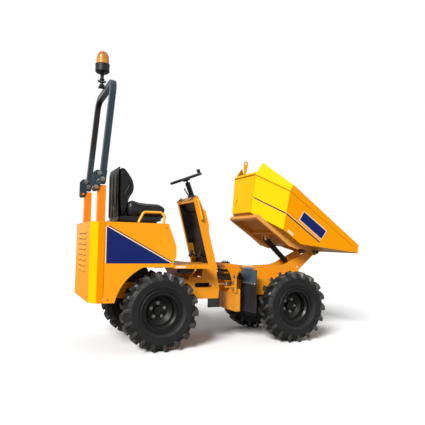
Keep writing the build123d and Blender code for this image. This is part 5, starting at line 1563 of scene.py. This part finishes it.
# ---- front section
@dataclass
class FrontSection:
    """The flaps' steel sheets, the bolts, the valve block, and the hoses that cross the pivot."""

    flap_x: float = 925.0
    flap_y: tuple[float, float] = (128, 440)
    sheet_z: tuple[float, float] = (540, 686)
    hose_radius: float = 10.0
    bulkhead_x: float = 604.5
    block_x: float = 930.5
    hoses: tuple[Point, ...] = ((-112, 650), (-142, 640), (-174, 622), (-206, 606), (-78, 686),
                                (-40, 688), (0, 690), (40, 688), (80, 684), (112, 652), (146, 636))
    mount: Mount = Mount("chassis_front", "frame_yellow")

    def build(self) -> None:
        """Builds the sheets, the bolts, the hoses and the valve block."""
        for side in Side:
            self.sheet(side)
        back = (-1, 0, 0)
        row = [((self.flap_x - 3.6, s * (150.0 + 54.0 * k), 556), back)
               for s in Side for k in range(6)]
        Bolts(self.mount, 16.0).put("flap_bolts", row, seed=8)
        bridge = [((767.8, s * y, z), back) for s in Side
                  for y, z in ((280, 500), (280, 560), (300, 620), (440, 718))]
        Bolts(self.mount, 18.0).put("bridge_bolts", bridge, seed=9)
        plates = [((x, s * 300.3, z), (0, s, 0)) for s in Side
                  for x, z in ((1280, 560), (1400, 560), (1000, 560), (1460, 470))]
        Bolts(self.mount, 18.0).put("side_plate_bolts", plates, seed=10)
        for index, (y, z) in enumerate(self.hoses):
            self.hose(index, y, z)
        self.manifold()

    def sheet(self, side: Side) -> None:
        """The steel sheet that clamps a rubber flap, with its folded top.

        Args:
            side: The flap's side.
        """
        near, far = self.flap_y
        low, high = self.sheet_z
        x = self.flap_x
        outline = [(near + 4, low + 8), (near + 14, low), (far - 40, low), (far, low + 40),
                   (far, high - 20), (far - 20, high), (near + 4, high)]
        outline = [(side * y, z) for y, z in outline]
        Solid().across(outline, x - 3.4, x - 0.3).piece(f"flap_sheet_{side.label}", SLATE,
                                                        self.mount)
        fold = [(x - 3.4, high - 4), (x - 0.3, high - 4), (x + 40, high + 12), (x + 39, high + 15),
                (x - 3.4, high + 3)]
        Solid().side(fold, *side.span(near + 8, far - 90)).piece(f"flap_fold_{side.label}", SLATE,
                                                                 self.mount)

    def hose(self, index: int, y: float, z: float) -> None:
        """One hydraulic hose from the bulkhead to the front chassis, sagging a little.

        Args:
            index: The hose's number.
            y: Its place across the machine.
            z: The height at which it leaves the bulkhead.
        """
        side = 14.0 * (index % 4 - 1.5)
        route = [(self.bulkhead_x, y, z), (640, y, z - 1), (690, y - side * 0.3, z - 14),
                 (740, y - side * 0.5, z - 22), (790, y - side * 0.3, z - 22),
                 (850, y, z - 12), (896, y, z - 6), (self.block_x, y, z - 6)]
        curve = bpy.data.curves.new(f"hose_route_{index}", "CURVE")
        curve.dimensions = "3D"
        spline = curve.splines.new("NURBS")
        spline.points.add(len(route) - 1)
        for point, place in zip(spline.points, route):
            point.co = (*DATUM.at(*place), 1.0)
        spline.order_u = 3
        spline.use_endpoint_u = True
        spline.resolution_u = 8
        carrier = bpy.data.objects.new(f"hose_route_{index}", curve)
        line = [v.co.copy() for v in bpy.data.meshes.new_from_object(carrier).vertices]
        bpy.data.objects.remove(carrier)
        data = Solid().tube([DATUM.back(place) for place in line], self.hose_radius,
                            14).mesh(f"hose_{index}")
        hose = show(data, f"hose_{index}", HOSE, smooth=50)
        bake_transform(hose)
        LOG.info("%s: %d faces between the two halves", hose.name, len(data.polygons))
        for name, body, start, end in (("rear", "chassis_rear", 604.2, 626),
                                       ("front", "chassis_front", 908, 930.8)):
            height = z if name == "rear" else z - 6
            Solid().tube([(start, y, height), (end, y, height)], self.hose_radius + 3, 6).piece(
                f"hose_ferrule_{name}_{index}", ZINC, Mount(body, "bare_steel"))

    def manifold(self) -> None:
        """The valve block on the front chassis's top plate, with its unions."""
        block = Solid().box((800, 40, 700.3), (880, 104, 742))
        block.piece("valve_block", BLACK, Mount("chassis_front", "black_paint"), bevel=3.0)
        unions = Solid()
        for k in range(3):
            unions.tube([(816.0 + 24 * k, 72, 742), (816.0 + 24 * k, 72, 756)], 8, 6)
        unions.piece("valve_unions", ZINC, Mount("chassis_front", "bare_steel"))


# ---- skip
class Wall:
    """A flat wall of the level skip, given by three points on its outside."""

    def __init__(self, a: Point, b: Point, c: Point, inside: Point) -> None:
        """Takes the plane through three points, its normal pointing away from the inside.

        Args:
            a: The first point, which is the plane's origin.
            b: The second point.
            c: The third point.
            inside: A point inside the skip.
        """
        self.origin = Vector(a)
        self.normal = (Vector(b) - self.origin).cross(Vector(c) - self.origin).normalized()
        if self.normal.dot(Vector(inside) - self.origin) > 0:
            self.normal.negate()

    def on(self, x: float, z: float, lift: float) -> Vector:
        """Finds the point of the wall at x and z.

        Args:
            x: The place along the machine.
            z: The height.
            lift: How far the point is lifted off the wall's outside.

        Returns:
            The point.
        """
        n, o = self.normal, self.origin
        y = o.y - (n.x * (x - o.x) + n.z * (z - o.z)) / n.y
        return Vector((x, y, z)) + n * lift

    def band(self, corners: Sequence[Point], turn: Matrix, skin: Object) -> Solid:
        """Lays a long film on the skin itself, which may be a little off the plane.

        Args:
            corners: Its corners (x, z): start and end of the upper edge, then of the lower edge.
            turn: The turn from the level skip to the skip as it stands.
            skin: The piece it is laid on.

        Returns:
            The film, as it stands.
        """
        way = turn.to_3x3() @ self.normal
        rings = []
        for k in range(17):
            ring = []
            for start, end in (corners[:2], corners[2:]):
                x, z = (a + (b - a) * k / 16 for a, b in zip(start, end))
                above = DATUM.at(*(turn @ self.on(x, z, 40.0)))
                hit, place, _, _ = skin.ray_cast(above, -way, distance=0.08)
                place = place if hit else DATUM.at(*(turn @ self.on(x, z, 0.0)))
                base = DATUM.back(place)
                ring += [base + way * 0.5, base + way * 1.4]
            rings.append([ring[0], ring[1], ring[3], ring[2]])
        return Solid().loft(rings)

    def film(self, outline: Sequence[Point], lift: float) -> Solid:
        """A thin film with its outline (x, z), lifted off the wall's outside."""
        return Solid().loft([[self.on(x, z, h) for x, z in outline] for h in (lift, lift + 0.9)])


@dataclass
class SkipMarks:
    """The skip's stripes, blank plates, labels, painted fold shadow, loop and welds, drawn on it
    level.
    """

    pivot: Point = (1775, 860)
    tilt: float = 33.0
    fold: Point = (719, 1090)
    back_foot: Point = (894, 749)
    back_half: float = 232.0
    corner_x: float = 1029.0
    half: float = 462.0
    side_fold: tuple[float, float] = (1092, 1065)
    side_drop: float = 340.0
    lip_top_x: float = 2010.0
    chamfer_foot: Point = (1028, 298, 751.5)
    lean: float = 7.0
    mount: Mount = Mount("skip_body", "skip_yellow")

    def tipped(self) -> Matrix:
        """The turn from the level skip to the skip as it stands."""
        place = Matrix.Translation((self.pivot[0], 0, self.pivot[1]))
        return place @ Matrix.Rotation(math.radians(self.tilt), 4, "Y") @ place.inverted()

    def walls(self, side: Side) -> tuple[Wall, Wall]:
        """The chamfered corner and the side wall, on one side.

        Args:
            side: The side.

        Returns:
            The chamfer and the side wall.
        """
        inside = (1300, 0, 950)
        low_y = self.half - self.side_drop * math.tan(math.radians(self.lean))
        corner = (self.corner_x, side * self.half, self.side_fold[0])
        foot_x, foot_y, foot_z = self.chamfer_foot
        chamfer = Wall((self.fold[0], side * self.back_half, self.fold[1]), corner,
                       (foot_x, side * foot_y, foot_z), inside)
        flank = Wall(corner, (self.lip_top_x, side * self.half, self.side_fold[1]),
                     (self.corner_x, side * low_y, self.side_fold[0] - self.side_drop), inside)
        return chamfer, flank

    def build(self) -> None:
        """Builds the marks on both sides and the welds."""
        turn = self.tipped()
        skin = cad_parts["skip"]
        for side in Side:
            chamfer, flank = self.walls(side)
            label = side.label
            # The stripe runs level round the corner: one band on the chamfer, two on the flank. The
            # chamfer's plum band is painted highlight on the dark stripe.
            corner = self.meeting(chamfer, flank, 886)
            band = ((836, 891), (corner - 2, 892), (836, 880), (corner - 2, 879))
            chamfer.band(band, turn, skin).piece(f"stripe_corner_{label}", STRIPE_HIGHLIGHT, self.mount)
            for name, finish, high, low in (("broad", UMBER, 892, 880), ("thin", PALE, 897.5, 893)):
                band = ((corner + 2, high), (1606, high - 13), (corner + 2, low), (1602, low - 13))
                flank.band(band, turn, skin).piece(f"stripe_{name}_{label}", finish, self.mount)
            plate = [(1272, 1018), (1606, 1008), (1610, 903), (1280, 916)]
            inner = [(1279, 1011), (1599, 1001), (1602, 910), (1287, 923)]
            small = [(1240, 776), (1322, 772), (1322, 750), (1240, 754)]
            for name, finish, outline, lift in (("plate_border", PALE, plate, 0.3),
                                                ("plate_blank", NAVY, inner, 1.2),
                                                ("blank_label_skip", PALE, small, 0.3)):
                flank.film(outline, lift).moved(turn).piece(f"{name}_{label}", finish, self.mount)
        self.hem(turn, skin)
        self.loop(turn)
        self.welds(turn)

    def meeting(self, first: Wall, second: Wall, z: float) -> float:
        """Finds where two walls meet along X at a height, by halving.

        Args:
            first: The wall on the rear side of the corner.
            second: The wall on the front side.
            z: The height.

        Returns:
            The place along X.
        """
        low, high = self.corner_x - 60, self.corner_x + 400.0
        sign = 1.0 if first.on(low, z, 0).y > second.on(low, z, 0).y else -1.0
        for _ in range(40):
            middle = (low + high) / 2
            apart = first.on(middle, z, 0).y - second.on(middle, z, 0).y
            low, high = (middle, high) if apart * sign > 0 else (low, middle)
        return (low + high) / 2

    def hem(self, turn: Matrix, skin: Object) -> None:
        """The painted shadow under the folded lip, round the back, the corners and the sides.

        Args:
            turn: The turn from the level skip to the skip as it stands.
            skin: The skip itself.
        """
        top, foot = Vector(self.fold), Vector(self.back_foot)
        down = (foot - top).normalized()
        out = Vector((down.y, -down.x))
        corners = ((3, 0.3), (13, 0.3), (13, 2), (3, 2))
        bar = [tuple(top + down * along + out * rise) for along, rise in corners]
        Solid().side(bar, -230, 230).moved(turn).piece("hem_back", FOLD_SHADOW, self.mount)
        for side in Side:
            chamfer, flank = self.walls(side)
            corner = self.meeting(chamfer, flank, 1082)
            band = ((724, 1087), (corner - 2, 1088.5), (724, 1076.5), (corner - 2, 1078))
            chamfer.band(band, turn, skin).piece(f"hem_corner_{side.label}", FOLD_SHADOW, self.mount)
            band = ((corner + 3, 1087), (1960, 1062), (corner + 3, 1081.5), (1960, 1057.5))
            flank.band(band, turn, skin).piece(f"hem_side_{side.label}", FOLD_SHADOW, self.mount)

    def loop(self, turn: Matrix) -> None:
        """The half-oval loop of bar welded on the back wall.

        Args:
            turn: The turn from the level skip to the skip as it stands.
        """
        foot, top = (Vector((x, 0, z)) for x, z in (self.back_foot, self.fold))
        along = (top - foot).normalized()
        out = Vector((-along.z, 0, along.x))
        route = []
        for k in range(15):
            swing = math.pi * k / 14
            route.append(foot + along * (24.0 + 118.0 * math.sin(swing)) + out * 5.0
                         + Vector((0, 104.0 + 62.0 * math.cos(swing), 0)))
        Solid().tube(route, 5, 10).moved(turn).piece("skip_loop", SKIP, self.mount)

    def welds(self, turn: Matrix) -> None:
        """Weld beads along the skip's folded corners, on the outside.

        Args:
            turn: The turn from the level skip to the skip as it stands.
        """
        beads = Solid()
        for side in Side:
            chamfer, flank = self.walls(side)
            heights = (self.fold[1] - 26.0 * k for k in range(13))
            beads.tube([flank.on(self.meeting(chamfer, flank, z), z, 0.5) for z in heights], 3, 6)
            beads.tube([(self.fold[0] - 1, side * self.back_half, self.fold[1]),
                        (self.back_foot[0] - 1, side * (self.back_half - 28),
                         self.back_foot[1] + 4)], 2.5, 6)
        beads.moved(turn).piece("skip_welds", SKIP, self.mount, smooth=60)


# ---- cylinders
@dataclass
class Rams:
    """The glands, unions and pin heads of the two cylinders."""

    tip_eye: Point = (1264, 990)
    tip_foot: Point = (1664, 620)
    tip_length: float = 345.0
    steer_foot: Point = (220, -190)
    steer_eye: Point = (752, -150)
    steer_length: float = 330.0
    steer_z: float = 540.0
    tip_radius: float = 31.0
    steer_radius: float = 27.0

    def build(self) -> None:
        """Builds both cylinders' fittings."""
        start = Vector((self.tip_eye[0], 0, self.tip_eye[1]))
        along = (Vector((self.tip_foot[0], 0, self.tip_foot[1])) - start).normalized()
        self.gland("tip", start, along, self.tip_length, self.tip_radius)
        start = Vector((*self.steer_foot, self.steer_z))
        along = (Vector((*self.steer_eye, self.steer_z)) - start).normalized()
        self.gland("steer", start, along, self.steer_length, self.steer_radius)
        for name, (x, z), reach, body in (("tip_eye", self.tip_eye, 41, "skip_body"),
                                          ("tip_foot", self.tip_foot, 46, "chassis_front")):
            pins = Solid()
            for side in Side:
                y = side * reach
                pins.tube([(x, y, z), (x, y + side * 6, z)], 15, 18)
            pins.piece(f"pin_heads_{name}", ZINC, Mount(body, "bare_steel"))

    def gland(self, name: str, start: Vector, along: Vector, length: float, radius: float) -> None:
        """The gland nut at a barrel's open end and the union near its eye.

        Args:
            name: The cylinder's name in the names of bodies and pieces.
            start: The barrel's eye.
            along: The cylinder's direction.
            length: The barrel's length.
            radius: The gland's radius.
        """
        mount = Mount(f"{name}_barrel", "black_paint")
        ends = [start + along * reach for reach in (length - 24, length - 1)]
        Solid().tube(ends, radius, 8).piece(f"{name}_gland", BLACK, mount, bevel=1.2)
        side = along.cross(Vector((0, 1, 0))).normalized() if name == "tip" else Vector((0, 0, 1))
        if side.z < 0:
            side.negate()
        foot = start + along * 60.0 + side * (radius - 6)
        Solid().tube([foot, foot + side * 16], 8, 6).piece(f"{name}_union", ZINC, mount)


# ---- studio
@dataclass
class Studio:
    """The pale floor, the soft light and the camera."""

    eye: Point = (-1260.9, -4417, 946)
    heading: float = 0.4093
    pitch: float = 0.0606
    roll: float = 0.0207
    lens: float = 40.634
    sensor: float = 36.0
    key: Point = (-0.61, -0.61, 0.5)
    key_strength: float = 4.0
    key_angle: float = 20.0
    sky: float = 0.27
    floor_seen: float = 1.2
    floor_bounce: str = "#B8B6B2"

    def build(self) -> None:
        """Sets up the world, the lamps, the floor and the camera."""
        self.world()
        self.lamps()
        self.floor()
        self.camera()
        bpy.context.scene.view_settings.view_transform = "Standard"

    def camera(self) -> None:
        """Puts the camera at the eye, looking along its heading."""
        ahead = Vector((math.sin(self.heading) * math.cos(self.pitch),
                        math.cos(self.heading) * math.cos(self.pitch), math.sin(self.pitch)))
        side = ahead.cross(Vector((0, 0, 1))).normalized()
        rise = side.cross(ahead)
        right = math.cos(self.roll) * side + math.sin(self.roll) * rise
        up = math.cos(self.roll) * rise - math.sin(self.roll) * side
        data = bpy.data.cameras.new("camera")
        data.lens = self.lens
        data.sensor_width = self.sensor
        camera = bpy.data.objects.new("camera", data)
        turn = Matrix((right, up, -ahead)).transposed().to_4x4()
        camera.matrix_world = Matrix.Translation(DATUM.at(*self.eye)) @ turn
        bpy.context.collection.objects.link(camera)
        bpy.context.scene.camera = camera

    def world(self) -> None:
        """A pale sky that looks white to the camera and in reflections."""
        world = bpy.data.worlds.new("studio_sky")
        tree = clean_tree(world)
        rays = add_node(tree, "ShaderNodeLightPath").outputs
        seen = add_node(tree, "ShaderNodeMath", {0: rays["Is Camera Ray"],
                                                 1: rays["Is Glossy Ray"]}, operation="MAXIMUM")
        seen = add_node(tree, "ShaderNodeMath", {0: seen, 1: rays["Is Transmission Ray"]},
                        operation="MAXIMUM")
        level = add_node(tree, "ShaderNodeMapRange", {"Value": seen, "To Min": self.sky,
                                                      "To Max": 1.0})
        light = add_node(tree, "ShaderNodeBackground", {"Color": linear("#FFFFFF"),
                                                        "Strength": level})
        add_node(tree, "ShaderNodeOutputWorld", {"Surface": light})
        bpy.context.scene.world = world

    def lamps(self) -> None:
        """One broad soft sun from behind and above the machine's right side."""
        data = bpy.data.lights.new("key", "SUN")
        data.energy = self.key_strength
        data.angle = math.radians(self.key_angle)
        lamp = bpy.data.objects.new("key", data)
        lamp.rotation_euler = (-Vector(self.key)).to_track_quat("-Z", "Y").to_euler()
        bpy.context.collection.objects.link(lamp)

    def floor(self) -> None:
        """A wide floor, white to the camera and greyer to bounced light."""
        data = bpy.data.meshes.new("floor")
        corners = [(-40, -40, 0), (40, -40, 0), (40, 60, 0), (-40, 60, 0)]
        data.from_pydata(corners, [], [(0, 1, 2, 3)])
        floor = bpy.data.objects.new("floor", data)
        bpy.context.collection.objects.link(floor)
        material = bpy.data.materials.new("matt_studio_floor")
        tree = clean_tree(material)
        rays = add_node(tree, "ShaderNodeLightPath").outputs
        white = (self.floor_seen, self.floor_seen, self.floor_seen, 1.0)
        seen = add_node(tree, "ShaderNodeMix", {0: rays["Is Camera Ray"], 7: white,
                                                6: linear(self.floor_bounce)}, data_type="RGBA")
        shader = add_node(tree, "ShaderNodeBsdfDiffuse", {"Color": seen.outputs[2]})
        add_node(tree, "ShaderNodeOutputMaterial", {"Surface": shader})
        data.materials.append(material)


def main() -> None:
    """Builds the scene in order."""
    logging.basicConfig(level=logging.INFO, format="%(name)s: %(message)s")
    Studio().build()
    dress_nodes()
    for assembly in (Wheels(), RearBody(), RollOver(), Seat(), Console(), TreadPlate(),
                     FrontSection(), SkipMarks(), Rams()):
        assembly.build()


if __name__ == "__main__":
    main()
